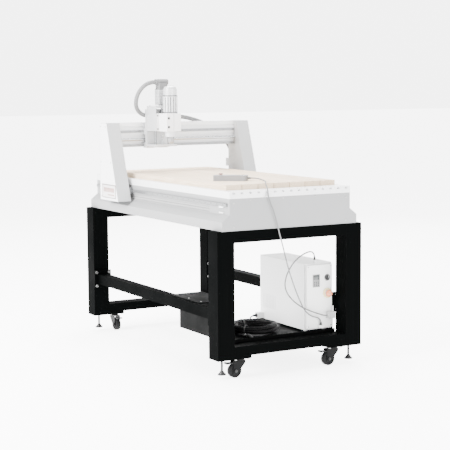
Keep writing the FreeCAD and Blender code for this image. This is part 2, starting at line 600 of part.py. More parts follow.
beam = new_body()
front, back = "beam_front", "beam_front + beam_depth"
ring = [(front, "beam_low"), (back, "beam_low"), (back, "beam_high"), (front, "beam_high")]
for slot in ("beam_slot_a", "beam_slot_b", "beam_slot_c"):
    high, low = f"beam_low + {slot} + beam_slot / 2", f"beam_low + {slot} - beam_slot / 2"
    deep = "beam_front + beam_slot_depth"
    ring += [(front, high), (deep, high), (deep, low), (front, low)]
pad(beam, outline(beam, "YZ_Plane", ring), f"2 * {CHEEK_INNER}", midplane=True)
web = "beam_low + beam_slot_b"
for low, high in (("beam_low + beam_skin", f"{web} - beam_skin / 2"),
                  (f"{web} + beam_skin / 2", "beam_high - beam_skin")):
    pocket(beam, outline(beam, "YZ_Plane", [
        (f"{deep} + beam_skin", low), (f"{back} - beam_skin", low),
        (f"{back} - beam_skin", high), (f"{deep} + beam_skin", high)]),
        f"2 * {CHEEK_INNER} + 2", midplane=True)
node("gantry_beam", beam)

x_rails = [box((f"-{CHEEK_INNER} + 6", f"{CHEEK_INNER} - 6"), ("beam_front - rail_height", "beam_front"),
               (f"{mid} - rail_size / 2", f"{mid} + rail_size / 2"))
           for mid in ("x_rail_high", "x_rail_low")]
node("x_rails", join(x_rails))
node("x_screw", rod("X", "x_screw_radius", f"-{CHEEK_INNER} - cheek_wall + 1",
                    f"{CHEEK_INNER} + cheek_wall - 1", y="x_screw_y", z="x_screw_mid"))
node("x_motor", box((f"{CHEEK_INNER} + cheek_wall", f"{CHEEK_INNER} + cheek_wall + x_motor_length"),
                    ("x_screw_y - motor_half", "x_screw_y + motor_half"),
                    ("x_screw_mid - motor_half", "x_screw_mid + motor_half")))

# ---------------------------------------------------------------- carriage and Z axis
def about_head(reach):
    return (f"head_x - {reach}", f"head_x + {reach}")


plate_back = "carriage_front + carriage_thick"
carriage = [box(about_head("carriage_half"), ("carriage_front", plate_back),
                ("carriage_low", "carriage_high"))]
block_y = (plate_back, "beam_front - x_block_inset")
for mid in ("x_rail_high", "x_rail_low"):
    for start in ("head_x - carriage_half + 2", "head_x + carriage_half - 2 - x_block_long"):
        block = box((start, f"{start} + x_block_long"), block_y,
                    (f"{mid} - x_block_high / 2", f"{mid} + x_block_high / 2"))
        groove = box((f"{start} - 1", f"{start} + x_block_long + 1"),
                     ("beam_front - rail_height - running", "beam_front"),
                     (f"{mid} - rail_size / 2 - running", f"{mid} + rail_size / 2 + running"))
        carriage.append(cut(block, [groove]))
x_nut = box(about_head("25"), block_y, ("x_screw_mid - 16", "x_screw_mid + 16"))
carriage.append(cut(x_nut, [rod("X", "x_screw_radius + running", "head_x - 26", "head_x + 26",
                                y="x_screw_y", z="x_screw_mid")]))
carriage.append(box(about_head("hose_bracket_half"), (plate_back, f"{plate_back} + 32"),
                    ("hose_bracket_low", "hose_bracket_high")))
node("x_carriage", join(carriage))

z_back = "carriage_front"
top_plate = cut(box(about_head("z_half"), ("z_front", z_back), ("z_top - z_top_thick", "z_top")),
                [rod("Z", "z_screw_radius + running", "z_top - z_top_thick - 1", "z_top + 1",
                     x="head_x", y="rod_y")])
bottom_plate = box(about_head("z_half"), ("z_front", z_back), ("z_bottom", "z_bottom + z_top_thick"))
shell_walls = [box((f"head_x + {a}", f"head_x + {b}"), ("z_front", z_back),
                   ("z_shell_low", "z_top - z_top_thick"))
               for a, b in (("(-z_half)", "(-z_half + z_shell_wall)"), ("z_half - z_shell_wall", "z_half"))]
node("z_housing", join([top_plate, bottom_plate] + shell_walls))
node("z_guide_rods", join([rod("Z", "rod_radius", "z_bottom + z_top_thick", "z_top - z_top_thick",
                               x=f"head_x + {hand} * rod_spread", y="rod_y") for hand in (-1, 1)]))
node("z_screw", rod("Z", "z_screw_radius", "z_bottom + z_top_thick + seat", "z_top - 1",
                    x="head_x", y="rod_y"))

motor_low = "z_top + z_motor_boss"
motor_high = f"{motor_low} + z_motor_height"
node("z_motor", join([
    box(about_head("z_motor_half"), ("z_motor_y - z_motor_half", "z_motor_y + z_motor_half"),
        (motor_low, motor_high)),
    rod("Z", "z_motor_half - 10", "z_top", motor_low, x="head_x", y="z_motor_y")]))
block_high = f"{motor_high} + hose_block_height"
SLEEVE_Z = f"{block_high} + 5"
node("hose_block", join([
    box(about_head("(z_motor_half - 4)"), ("z_motor_y - z_motor_half + 2", "z_motor_y + z_motor_half - 2"),
        (motor_high, block_high)),
    rod("X", "sleeve_radius", "head_x - 28", "head_x + 38", y="z_motor_y", z=SLEEVE_Z)]))

slide = join([
    box(about_head("slide_half"), ("slide_front", "slide_back"), ("slide_low", "slide_high")),
    box(about_head("clamp_half"), ("clamp_front", "slide_front"), ("slide_low", "slide_high"))])
through = ("slide_low - 1", "slide_high + 1")
slide_holes = [rod("Z", "rod_radius + running", *through, x=f"head_x + {hand} * rod_spread", y="rod_y")
               for hand in (-1, 1)]
slide_holes.append(rod("Z", "z_screw_radius + running", *through, x="head_x", y="rod_y"))
slide_holes.append(rod("Z", "neck_radius", *through, x="head_x", y="spindle_y"))
slide_holes.append(box(about_head("clamp_slit / 2"), ("clamp_front - 1", "spindle_y"), through))
node("z_slide_clamp", cut(slide, slide_holes))

nose_low = "(slide_low - nose_height)"
pocket_r = "spindle_shaft_radius + running"
pocket_top = f"{nose_low} + spindle_shaft_reach + seat"
turned = new_body()
revolve(turned, [
    ("0", pocket_top), (pocket_r, pocket_top), (pocket_r, nose_low), ("nose_radius", nose_low),
    ("nose_radius", "slide_low"), ("neck_radius - running / 2", "slide_low"),
    ("neck_radius - running / 2", "slide_high"), ("spindle_radius", "slide_high"),
    ("spindle_radius", "spindle_shoulder"), ("spindle_radius - 3", "spindle_shoulder + 3"),
    ("spindle_radius - 3", "spindle_top - 16"), ("spindle_radius - 8", "spindle_top - 6"),
    ("spindle_radius - 18", "spindle_top"), ("0", "spindle_top")])
bind(turned, {"Placement.Base.x": "head_x", "Placement.Base.y": "spindle_y"})
flutes = []
for i in range(SIZES["fin_count"]):
    angle = 2 * math.pi * i / SIZES["fin_count"]
    flutes.append(rod("Z", "fin_depth", "slide_high + 10", "spindle_shoulder - 6",
                      x=f"head_x + spindle_radius * {math.cos(angle):.6f}",
                      y=f"spindle_y + spindle_radius * {math.sin(angle):.6f}"))
node("spindle_body", cut(turned, flutes))

collet_top = f"{nose_low} - running"
collet_low = f"{collet_top} - collet_height"
nut_body = join([
    rod("Z", "collet_radius - 5", collet_low, f"{collet_low} + 10", end_radius="collet_radius",
        x="head_x", y="spindle_y"),
    rod("Z", "collet_radius", f"{collet_low} + 10", collet_top, x="head_x", y="spindle_y"),
    rod("Z", "spindle_shaft_radius", collet_top, f"{nose_low} + spindle_shaft_reach",
        x="head_x", y="spindle_y")])
node("collet_nut", cut(nut_body, [rod("Z", "shank_radius", f"{collet_low} - 1",
                                      f"{collet_low} + shank_depth", x="head_x", y="spindle_y")]))

# ---------------------------------------------------------------- controller
datum = "shelf_top"
CABINET_RIGHT = f"({SHELF_SIDE} - cabinet_gap)"
CABINET_LEFT = f"({CABINET_RIGHT} - cabinet_width)"
CABINET_FRONT = f"({STRETCHER_END} - cabinet_front_gap)"
CABINET_BACK = f"({CABINET_FRONT} - cabinet_length)"
CONTROL_X = f"({CABINET_RIGHT} - control_inset)"
SCREEN_X = f"({CABINET_LEFT} + screen_inset)"
cabinet_low = "cabinet_foot"
cabinet_z = (cabinet_low, "cabinet_high")
case = rounded(box((CABINET_LEFT, CABINET_RIGHT), (f"-{CABINET_FRONT}", f"-{CABINET_BACK}"), cabinet_z),
               "cabinet_round", UPRIGHT_EDGES)
room = box((f"{CABINET_LEFT} + cabinet_wall", f"{CABINET_RIGHT} - cabinet_wall"),
           (f"-{CABINET_FRONT} + cabinet_wall", f"-{CABINET_BACK} - cabinet_wall"),
           (f"{cabinet_low} + cabinet_wall", "cabinet_high - cabinet_wall"))
rim = "(panel_inset + panel_seat)"
window = box((f"{CABINET_LEFT} + {rim}", f"{CABINET_RIGHT} - {rim}"),
             (f"-{CABINET_FRONT} - 1", f"-{CABINET_FRONT} + cabinet_wall + 1"),
             (f"{cabinet_low} + {rim}", f"cabinet_high - {rim}"))
cabinet = [cut(case, [room, window])]
for x in (f"{CABINET_LEFT} + 30", f"{CABINET_RIGHT} - 30"):
    for y in (f"-{CABINET_FRONT} + 40", f"-{CABINET_BACK} - 40"):
        cabinet.append(rod("Z", "12", "0", cabinet_low, x=x, y=y))
lead_gland = {"x": f"{CABINET_LEFT} + 77", "y": f"-{CABINET_FRONT} + 20"}
cabinet.append(rod("Z", "8", "cabinet_high", "cabinet_high + 16", end_radius="5", **lead_gland))
cabinet.append(box((f"{CABINET_LEFT} - 40", CABINET_LEFT), (f"-{CABINET_BACK} - 51", f"-{CABINET_BACK} - 17"),
                   (f"{cabinet_low} + 4", f"{cabinet_low} + 36")))
node("controller_cabinet", join(cabinet))

panel_face = f"-{CABINET_FRONT} - panel_thick"
panel_x = (f"{CABINET_LEFT} + panel_inset", f"{CABINET_RIGHT} - panel_inset")
panel = rounded(box(panel_x, (panel_face, f"-{CABINET_FRONT}"),
                    (f"{cabinet_low} + panel_inset", "cabinet_high - panel_inset")),
                "fork_thick", UPRIGHT_EDGES)
stem_radius, knob_shaft = "10", "5"
estop_face = f"{panel_face} - estop_base_height"
estop_spot = {"x": CONTROL_X, "z": "estop_z"}
fittings = [
    panel, rod("Y", "estop_base_radius", estop_face, panel_face, **estop_spot),
    box((f"{SCREEN_X} - 22", f"{SCREEN_X} + 22"), (f"{panel_face} - 3", panel_face),
        ("screen_z - 34", "screen_z + 34")),
    box((f"{CONTROL_X} - 8", f"{CONTROL_X} + 36"), (f"{panel_face} - 4", panel_face),
        ("estop_z - 140", "estop_z - 100")),
    box((f"{SCREEN_X} + 12", f"{SCREEN_X} + 38"), (f"{panel_face} - 20", panel_face),
        (f"{cabinet_low} + 10", f"{cabinet_low} + 24"))]
node("controller_panel", cut(join(fittings), [
    rod("Y", f"{stem_radius} + running", f"{estop_face} - 1", f"-{CABINET_FRONT} + 1", **estop_spot),
    rod("Y", f"{knob_shaft} + running", f"{panel_face} - 1", f"-{CABINET_FRONT} + 1",
        x=CONTROL_X, z="knob_z")]))
head_back = f"{estop_face} - estop_travel - running"
node("estop_button", join([
    rod("Y", stem_radius, head_back, f"{panel_face} + 6", **estop_spot),
    rod("Y", "estop_head_radius", f"{head_back} - 10", head_back, **estop_spot),
    rod("Y", "estop_head_radius - 4", f"{head_back} - 14", f"{head_back} - 10",
        end_radius="estop_head_radius", **estop_spot)]))
knob_back = f"{panel_face} - running"
node("selector_knob", join([
    rod("Y", knob_shaft, knob_back, f"{panel_face} + 8", x=CONTROL_X, z="knob_z"),
    rod("Y", "knob_radius", f"{knob_back} - 8", knob_back, x=CONTROL_X, z="knob_z"),
    box((f"{CONTROL_X} - 4", f"{CONTROL_X} + 4"), (f"{knob_back} - 16", f"{knob_back} - 8"),
        ("knob_z - knob_radius", "knob_z + knob_radius"))]))

# ---------------------------------------------------------------- pendant
datum = "0"
PENDANT_TURN = size("pendant_turn")
half_long = "pendant_long / 2"
handset = rounded(box((f"-{half_long}", half_long), ("-pendant_wide / 2", "pendant_wide / 2"),
                      ("0", "pendant_thick")), "cabinet_round", UPRIGHT_EDGES)
button_x = "-pendant_long / 2 + 38"
handset = cut(join([handset, rod("X", "6", half_long, f"{half_long} + 18", z="pendant_thick / 2")]),
              [rod("Z", "6 + running", "pendant_thick - 12", "pendant_thick + 1", x=button_x)])
on_bed = {"x": "pendant_x", "y": "pendant_y", "z": f"stand_top + {BOARD_TOP}", "turn": PENDANT_TURN}
node("pendant_housing", place(handset, **on_bed))
node("pendant_stop_button", place(join([
    rod("Z", "6", "pendant_thick - 6", "pendant_thick + 4.5", x=button_x),
    rod("Z", "pendant_button_radius", "pendant_thick + 4.5", "pendant_thick + 11", x=button_x)]),
    **on_bed))

# ---------------------------------------------------------------- cords, hoses and plugs
def cord(label, radius_alias, points):
    """A round cord along straight runs joined by tangent arcs, square to both its ends."""
    radius = size(radius_alias)
    points = [V(*point) for point in points]
    edges, start, tightest = [], points[0], math.inf
    for before, corner, after in zip(points, points[1:], points[2:]):
        arriving, leaving = corner - before, after - corner
        half_turn = arriving.getAngle(leaving) / 2
        setback = 0.45 * min(arriving.Length, leaving.Length)
        bend = setback / math.tan(half_turn)
        tightest = min(tightest, bend)
        arriving.normalize()
        leaving.normalize()
        first, last = corner - arriving * setback, corner + leaving * setback
        inward = (leaving - arriving).normalize()
        middle = corner + inward * (bend / math.cos(half_turn) - bend)
        edges.append(Part.LineSegment(start, first).toShape())
        edges.append(Part.Arc(first, middle, last).toShape())
        start = last
    edges.append(Part.LineSegment(start, points[-1]).toShape())
    path = Part.Wire(edges)
    section = Part.Wire([Part.Circle(points[0], points[1] - points[0], radius).toShape()])
    solid = path.makePipeShell([section], True, False)
    expected = math.pi * radius ** 2 * path.Length
    if abs(solid.Volume / expected - 1) > 0.01:
        raise RuntimeError(f"{label}: volume {solid.Volume:.0f}, expected {expected:.0f}")
    print(f"{label}: length {path.Length:.0f} mm, tightest bend {tightest:.0f} mm = "
          f"{tightest / (2 * radius):.1f} diameters")
    item = doc.addObject("Part::Feature", "Cord")
    item.Shape = solid
    return node(label, item)


cord("spindle_hose", "hose_radius", [
    (-186, 358, 1553), (-229, 358, 1553), (-270, 364, 1533), (-297, 381, 1497),
    (-306, 404, 1451.5), (-296, 428, 1406), (-266, 445, 1370), (-223, 450, 1350),
    (-176, 450, 1350)])
cord("gantry_hose", "hose_radius", [
    (-140, 450, 1350), (-80, 450, 1350), (-25, 466, 1346), (30, 490, 1342), (85, 520, 1336),
    (140, 548, 1326), (195, 566, 1312), (250, 577, 1294), (300, 584, 1270), (350, 589, 1240),
    (395, 591, 1200), (428, 588, 1156), (443, 575, 1112), (443, 575, 1070)])
cord("pendant_cord", "cord_radius", [
    (-72.53, -543.34, 1027), (-48.89, -561.81, 1027), (-36, -598, 1020), (-46, -650, 1015.7),
    (-74, -702, 1015.4), (-106, -752, 1018), (-131, -800, 1006), (-147, -838, 995),
    (-152, -853, 974), (-148, -852, 945), (-134, -851, 912), (-117, -852, 873),
    (-102, -851.5, 828), (-90, -852, 782), (-77, -851, 740), (-62, -848, 697),
    (-42, -838, 645), (-18, -826, 582), (10, -813, 520), (40, -800, 462), (70, -788, 406),
    (100, -777, 355), (130, -768, 312), (162, -761, 284), (195, -755, 268), (222, -751, 262),
    (241, -748.5, 251), (249, -747, 235), (249, -747, 216)])
cord("loop_lead", "lead_radius", [
    (235, -705, 573), (235, -705, 594), (226, -709, 612), (205, -718, 624), (165, -734, 623),
    (115, -748, 608), (72, -758, 582), (38, -762, 548), (14, -764, 506), (4, -765, 462),
    (16, -765, 419), (47, -765, 380), (90, -764, 345), (140, -762, 317), (190, -760, 296),
    (234, -758, 280), (260, -758, 270), (284, -758, 270)])
cord("coil_tail", "cable_radius", [
    (118, -279, 212), (94, -279, 212), (70, -287, 206), (56, -309, 197), (50, -341, 189.5),
    (48, -385, 185), (49, -435, 184.3), (51, -480, 187), (45, -520, 195)])

datum = "shelf_top"
node("loop_plug", join([
    rod("X", "lead_radius + 1.5", f"{CONTROL_X} - 12", f"{CONTROL_X} - 4", end_radius="lead_radius + 5",
        y=f"{panel_face} - 21", z="estop_z - 120"),
    box((f"{CONTROL_X} - 4", f"{CONTROL_X} + 32"), (f"{panel_face} - 36", f"{panel_face} - 4"),
        ("estop_z - 138", "estop_z - 102"))]))

coil = doc.addObject("Part::Torus", "Bundle")
bind(coil, {"Radius1": "coil_ring", "Radius2": "coil_thick", "Placement.Base.x": "coil_x",
            "Placement.Base.y": "coil_y", "Placement.Base.z": "shelf_top + coil_thick"})
node("cable_coil", coil)
plug_spot = {"x": "coil_x - coil_ring - cable_radius", "z": "10"}
node("coil_plug", join([
    rod("Y", "cable_radius", "coil_y - 108", "coil_y - 40", **plug_spot),
    rod("Y", "9", "coil_y - 120", "coil_y - 108", end_radius="cable_radius + 1", **plug_spot),
    rod("Y", "10", "coil_y - 156", "coil_y - 120", **plug_spot),
    rod("Y", "7", "coil_y - 166", "coil_y - 156", **plug_spot)]))

# ---------------------------------------------------------------- checks and export
doc.recompute()
for item in doc.Objects:
    if {"Invalid", "Error"} & set(item.State):
        raise RuntimeError(f"{item.Name} ({item.Label}): {item.State}")
for item in NODES:
    if item.Shape.isNull() or not item.Shape.isValid() or not item.Shape.Solids:
        raise RuntimeError(f"{item.Label}: no valid solid")

os.makedirs("parts", exist_ok=True)
for item in NODES:
    item.Shape.exportStep(f"parts/{item.Label}.step")
    bounds = item.Shape.BoundBox
    print(f"{item.Label}: {len(item.Shape.Solids)} solids, X {bounds.XMin:.1f}..{bounds.XMax:.1f}, "
          f"Y {bounds.YMin:.1f}..{bounds.YMax:.1f}, Z {bounds.ZMin:.1f}..{bounds.ZMax:.1f}")
print(f"{len(NODES)} sub-parts")
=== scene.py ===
"""The looks of a CNC router on a rolling stand, with its controller, hand pendant and cords."""
import bpy
import bmesh
import math
from mathutils import Matrix, Vector


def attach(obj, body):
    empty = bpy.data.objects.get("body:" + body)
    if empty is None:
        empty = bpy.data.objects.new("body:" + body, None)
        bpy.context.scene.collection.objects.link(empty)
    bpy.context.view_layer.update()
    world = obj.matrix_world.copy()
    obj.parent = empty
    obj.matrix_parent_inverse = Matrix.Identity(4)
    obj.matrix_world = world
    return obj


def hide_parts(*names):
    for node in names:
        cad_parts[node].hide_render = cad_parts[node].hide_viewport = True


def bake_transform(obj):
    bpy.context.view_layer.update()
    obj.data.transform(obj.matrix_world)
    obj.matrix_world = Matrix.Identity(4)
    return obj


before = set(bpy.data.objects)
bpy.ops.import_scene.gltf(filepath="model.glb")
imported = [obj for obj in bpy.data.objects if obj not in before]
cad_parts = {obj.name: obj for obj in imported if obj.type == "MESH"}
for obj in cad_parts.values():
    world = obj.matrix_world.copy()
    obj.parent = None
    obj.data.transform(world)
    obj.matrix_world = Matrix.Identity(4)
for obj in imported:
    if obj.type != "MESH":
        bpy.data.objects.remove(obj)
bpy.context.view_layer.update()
scene = bpy.context.scene
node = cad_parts


# ---- Camera, floor and light
# A long lens from the front left, a little above the bed; a white floor and
# large soft lamps, as in a studio.
across, down, lean = math.radians(29.34), math.radians(6.1453), math.radians(-0.4164)
ahead = Vector((math.sin(across) * math.cos(down), math.cos(across) * math.cos(down), -math.sin(down)))
level = Vector((math.cos(across), -math.sin(across), 0))
above = level.cross(ahead)
right = level * math.cos(lean) + above * math.sin(lean)
top = above * math.cos(lean) - level * math.sin(lean)
lens = bpy.data.cameras.new("studio_lens")
lens.lens, lens.sensor_width, lens.clip_end = 103.0, 36.0, 200.0
camera = bpy.data.objects.new("studio_camera", lens)
standpoint = Matrix.Translation((-3.6256, -6.5734, 1.5241))
camera.matrix_world = standpoint @ Matrix((right, top, -ahead)).transposed().to_4x4()
scene.collection.objects.link(camera)
scene.camera = camera

ground = bmesh.new()
bmesh.ops.create_grid(ground, x_segments=1, y_segments=1, size=60)
floor_data = bpy.data.meshes.new("studio_floor")
ground.to_mesh(floor_data)
ground.free()
paper = bpy.data.materials.new("white_paper")
paper.use_nodes = True
tree = paper.node_tree
shader = tree.nodes["Principled BSDF"]
shader.inputs["Base Color"].default_value = (0.97, 0.97, 0.97, 1)
shader.inputs["Roughness"].default_value = 0.9
shader.inputs["Emission Color"].default_value = (1, 1, 1, 1)
glow, direct = tree.nodes.new("ShaderNodeMapRange"), tree.nodes.new("ShaderNodeLightPath")
glow.inputs["To Min"].default_value, glow.inputs["To Max"].default_value = 2.8, 5.0
tree.links.new(direct.outputs["Is Camera Ray"], glow.inputs["Value"])
tree.links.new(glow.outputs["Result"], shader.inputs["Emission Strength"])
floor_data.materials.append(paper)
floor = bpy.data.objects.new("studio_floor", floor_data)
scene.collection.objects.link(floor)

sky = bpy.data.worlds.new("studio_air")
sky.use_nodes = True
tree = sky.node_tree
air, seen, bright, backdrop = tree.nodes["Background"], *(tree.nodes.new(kind) for kind in (
    "ShaderNodeLightPath", "ShaderNodeBackground", "ShaderNodeMixShader"))
for light, strength in ((air, 1.9), (bright, 5.6)):
    light.inputs["Color"].default_value = (1, 1, 1, 1)
    light.inputs["Strength"].default_value = strength
tree.links.new(seen.outputs["Is Camera Ray"], backdrop.inputs["Fac"])
tree.links.new(air.outputs["Background"], backdrop.inputs[1])
tree.links.new(bright.outputs["Background"], backdrop.inputs[2])
tree.links.new(backdrop.outputs["Shader"], tree.nodes["World Output"].inputs["Surface"])
scene.world = sky


def softbox(name, place, width, power):
    """A square lamp that faces the middle of the machine."""
    glow = bpy.data.lights.new(name, "AREA")
    glow.shape, glow.size, glow.energy = "SQUARE", width, power
    lamp = bpy.data.objects.new(name, glow)
    lamp.location = place
    lamp.rotation_euler = (Vector((0, 0, 0.9)) - Vector(place)).to_track_quat("-Z", "Y").to_euler()
    scene.collection.objects.link(lamp)


softbox("key_softbox", (-6.0, -0.5, 4.0), 3.5, 1700)
softbox("front_softbox", (1.0, -7.0, 3.5), 3.5, 380)
softbox("top_softbox", (0.5, 1.0, 5.5), 4.0, 800)
softbox("rear_softbox", (4.0, 5.0, 3.5), 3.5, 260)


# ---- Cords and hoses
# Round cables, grey on the panel and black in the coil, laid as one smooth line each,
# and two grey corrugated hoses that carry the spindle's and the motor's wires.
def lay_cable(name, route, radius):
    """A round cable along a smooth line through its route."""
    line = bpy.data.curves.new(name, "CURVE")
    line.dimensions = "3D"
    run = line.splines.new("NURBS")
    run.points.add(len(route) - 1)
    for knot, place in zip(run.points, route):
        knot.co = (*place, 1)
    run.order_u = 3
    run.use_endpoint_u = True
    line.resolution_u = 6
    line.bevel_depth, line.bevel_resolution = radius, 2
    line.use_fill_caps = True
    cable = bpy.data.objects.new(name, line)
    scene.collection.objects.link(cable)
    return cable


def line_of(route):
    """The points of the smooth line that a cable along this route would have."""
    bare = lay_cable("bare_line", route, 0)
    data = bpy.data.meshes.new_from_object(bare)
    points = [vertex.co.copy() for vertex in data.vertices]
    bpy.data.objects.remove(bare)
    return points


def stations(points, pitch):
    """Places an even pitch apart along a line, each with the direction there."""
    spots, left = [], 0.0
    for here, after in zip(points, points[1:]):
        long = (after - here).length
        while left <= long:
            spots.append((here.lerp(after, left / long), (after - here).normalized()))
            left += pitch
        left -= long
    spots.append((points[-1], (points[-1] - points[-2]).normalized()))
    return spots


def ribbed_hose(route, radius, pitch=0.0026, groove=0.89):
    """A corrugated tube: a ring at each crest and each groove, bridged one to the next."""
    tube = bmesh.new()
    spots = stations(line_of(route), pitch)
    turn = spots[0][1].to_track_quat("Z", "Y")
    last = None
    for count, (place, heading) in enumerate(spots):
        turn = (turn @ Vector((0, 0, 1))).rotation_difference(heading) @ turn
        size = radius * (1.0 if count % 2 else groove)
        ring = bmesh.ops.create_circle(tube, segments=18, radius=size,
                                       matrix=Matrix.Translation(place) @ turn.to_matrix().to_4x4())
        edges = list({edge for corner in ring["verts"] for edge in corner.link_edges})
        if last:
            bmesh.ops.bridge_loops(tube, edges=last + edges)
        last = edges
    bmesh.ops.holes_fill(tube, edges=[edge for edge in tube.edges if edge.is_boundary])
    return tube, [place for place, heading in spots]


def surface_play():
    """Patches and grain over a surface: outputs a slow patch, a fine grain and an edge mask."""
    group = bpy.data.node_groups.new("surface_play", "ShaderNodeTree")
    for label, kind, value in (("Vector", "NodeSocketVector", None), ("Patch Scale", "NodeSocketFloat", 5.0),
                               ("Grain Scale", "NodeSocketFloat", 600.0), ("Edge Width", "NodeSocketFloat", 0.001)):
        socket = group.interface.new_socket(label, in_out="INPUT", socket_type=kind)
        if value is not None:
            socket.default_value = value
    for label, kind in (("Patch", "NodeSocketFloat"), ("Grain", "NodeSocketFloat"),
                        ("Edge", "NodeSocketFloat"), ("Soft Normal", "NodeSocketVector")):
        group.interface.new_socket(label, in_out="OUTPUT", socket_type=kind)
    add, link = group.nodes.new, group.links.new
    come, go = add("NodeGroupInput"), add("NodeGroupOutput")
    patch, grain = add("ShaderNodeTexNoise"), add("ShaderNodeTexNoise")
    patch.inputs["Detail"].default_value = 5.0
    grain.inputs["Detail"].default_value = 2.0
    bend, flat = add("ShaderNodeBevel"), add("ShaderNodeNewGeometry")
    match, worn = add("ShaderNodeVectorMath"), add("ShaderNodeMapRange")
    bend.samples = 4
    match.operation = "DOT_PRODUCT"
    worn.inputs["From Min"].default_value, worn.inputs["From Max"].default_value = 0.995, 0.80
    link(come.outputs["Vector"], patch.inputs["Vector"])
    link(come.outputs["Vector"], grain.inputs["Vector"])
    link(come.outputs["Patch Scale"], patch.inputs["Scale"])
    link(come.outputs["Grain Scale"], grain.inputs["Scale"])
    link(come.outputs["Edge Width"], bend.inputs["Radius"])
    link(bend.outputs["Normal"], match.inputs[0])
    link(flat.outputs["Normal"], match.inputs[1])
    link(match.outputs["Value"], worn.inputs["Value"])
    link(patch.outputs["Fac"], go.inputs["Patch"])
    link(grain.outputs["Fac"], go.inputs["Grain"])
    link(worn.outputs["Result"], go.inputs["Edge"])
    link(bend.outputs["Normal"], go.inputs["Soft Normal"])
    return group


PLAY = surface_play()


def finish(name, colour, rough, metal=0.0, mottle=0.06, patch=5.0, grain=700.0, bump=0.12, deep=0.0002,
           worn=0.0, worn_colour=(0.6, 0.6, 0.6), edge=0.0012, stretch=(1, 1, 1), coat=0.0, shine=0.5):
    """A painted, moulded or metal finish whose colour, gloss and grain change over the surface."""
    material = bpy.data.materials.new(name)
    material.use_nodes = True
    tree = material.node_tree
    add, link = tree.nodes.new, tree.links.new
    shader = tree.nodes["Principled BSDF"]
    shader.inputs["Metallic"].default_value = metal
    shader.inputs["Coat Weight"].default_value = coat
    shader.inputs["Specular IOR Level"].default_value = shine
    where, scale, play = add("ShaderNodeTexCoord"), add("ShaderNodeMapping"), add("ShaderNodeGroup")
    scale.inputs["Scale"].default_value = stretch
    play.node_tree = PLAY
    play.inputs["Patch Scale"].default_value = patch
    play.inputs["Grain Scale"].default_value = grain
    play.inputs["Edge Width"].default_value = edge
    link(where.outputs["Object"], scale.inputs["Vector"])
    link(scale.outputs["Vector"], play.inputs["Vector"])
    tone = add("ShaderNodeMix")
    tone.data_type = "RGBA"
    tone.inputs["A"].default_value = (*[c * (1 - mottle) for c in colour], 1)
    tone.inputs["B"].default_value = (*[min(1, c * (1 + mottle)) for c in colour], 1)
    link(play.outputs["Patch"], tone.inputs["Factor"])
    gloss = add("ShaderNodeMapRange")
    gloss.inputs["From Min"].default_value, gloss.inputs["From Max"].default_value = 0.3, 0.7
    gloss.inputs["To Min"].default_value, gloss.inputs["To Max"].default_value = rough * 0.82, min(1, rough * 1.18)
    link(play.outputs["Patch"], gloss.inputs["Value"])
    link(gloss.outputs["Result"], shader.inputs["Roughness"])
    shown = tone.outputs["Result"]
    if worn:
        rub, faded = add("ShaderNodeMath"), add("ShaderNodeMix")
        rub.operation = "MULTIPLY"
        rub.inputs[1].default_value = worn
        faded.data_type = "RGBA"
        faded.inputs["B"].default_value = (*worn_colour, 1)
        link(play.outputs["Edge"], rub.inputs[0])
        link(rub.outputs["Value"], faded.inputs["Factor"])
        link(shown, faded.inputs["A"])
        shown = faded.outputs["Result"]
    link(shown, shader.inputs["Base Color"])
    relief = add("ShaderNodeBump")
    relief.inputs["Strength"].default_value = bump
    relief.inputs["Distance"].default_value = deep
    link(play.outputs["Grain"], relief.inputs["Height"])
    link(play.outputs["Soft Normal"], relief.inputs["Normal"])
    link(relief.outputs["Normal"], shader.inputs["Normal"])
    return material


def dress(material, *names):
    """Give CAD nodes their finish."""
    for name in names:
        data = node[name].data
        data.materials.clear()
        data.materials.append(material)


def block(mesh, low, high, soft=0.0, turn=None):
    """A block between two corners, with its edges rounded."""
    low, high = Vector(low), Vector(high)
    place = Matrix.Translation((low + high) / 2) @ Matrix.Diagonal((*(high - low), 1))
    made = bmesh.ops.create_cube(mesh, size=1, matrix=turn @ place if turn else place)
    if soft:
        edges = list({edge for corner in made["verts"] for edge in corner.link_edges})
        bmesh.ops.bevel(mesh, geom=edges, affect="EDGES", offset=soft, segments=2, profile=0.5, material=-1)


ALONG = {"X": Matrix.Rotation(math.pi / 2, 4, "Y"), "Y": Matrix.Rotation(-math.pi / 2, 4, "X"), "Z": Matrix()}


def peg(mesh, centre, axis, radius, long, sides=20):
    """A round or many-sided peg about its middle point."""
    bmesh.ops.create_cone(mesh, cap_ends=True, segments=sides, radius1=radius, radius2=radius,
                          depth=long, matrix=Matrix.Translation(centre) @ ALONG[axis])


def turned(mesh, centre, axis, profile, steps=32, angle=2 * math.pi, climb=0.0):
    """A ring, a cap or a screw thread spun from a profile of (radius, distance along the axis)."""
    place = Matrix.Translation(centre) @ ALONG[axis]
    corners = [mesh.verts.new(place @ Vector((radius, 0, along))) for radius, along in profile]
    edges = [mesh.edges.new(pair) for pair in zip(corners, corners[1:])]
    about = place.to_3x3() @ Vector((0, 0, 1))
    bmesh.ops.spin(mesh, geom=corners + edges, cent=centre, axis=about, dvec=about * climb,
                   angle=angle, steps=steps, use_merge=climb == 0)


def fit(name, mesh, material, body, sharp=35):
    """A finished piece from a mesh, riding on a body."""
    bmesh.ops.remove_doubles(mesh, verts=mesh.verts, dist=1e-6)
    bmesh.ops.recalc_face_normals(mesh, faces=mesh.faces)
    data = bpy.data.meshes.new(name)
    mesh.to_mesh(data)
    mesh.free()
    data.materials.append(material)
    data.shade_smooth()
    data.set_sharp_from_angle(angle=math.radians(sharp))
    piece = bpy.data.objects.new(name, data)
    scene.collection.objects.link(piece)
    if body:
        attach(piece, body)
    return piece


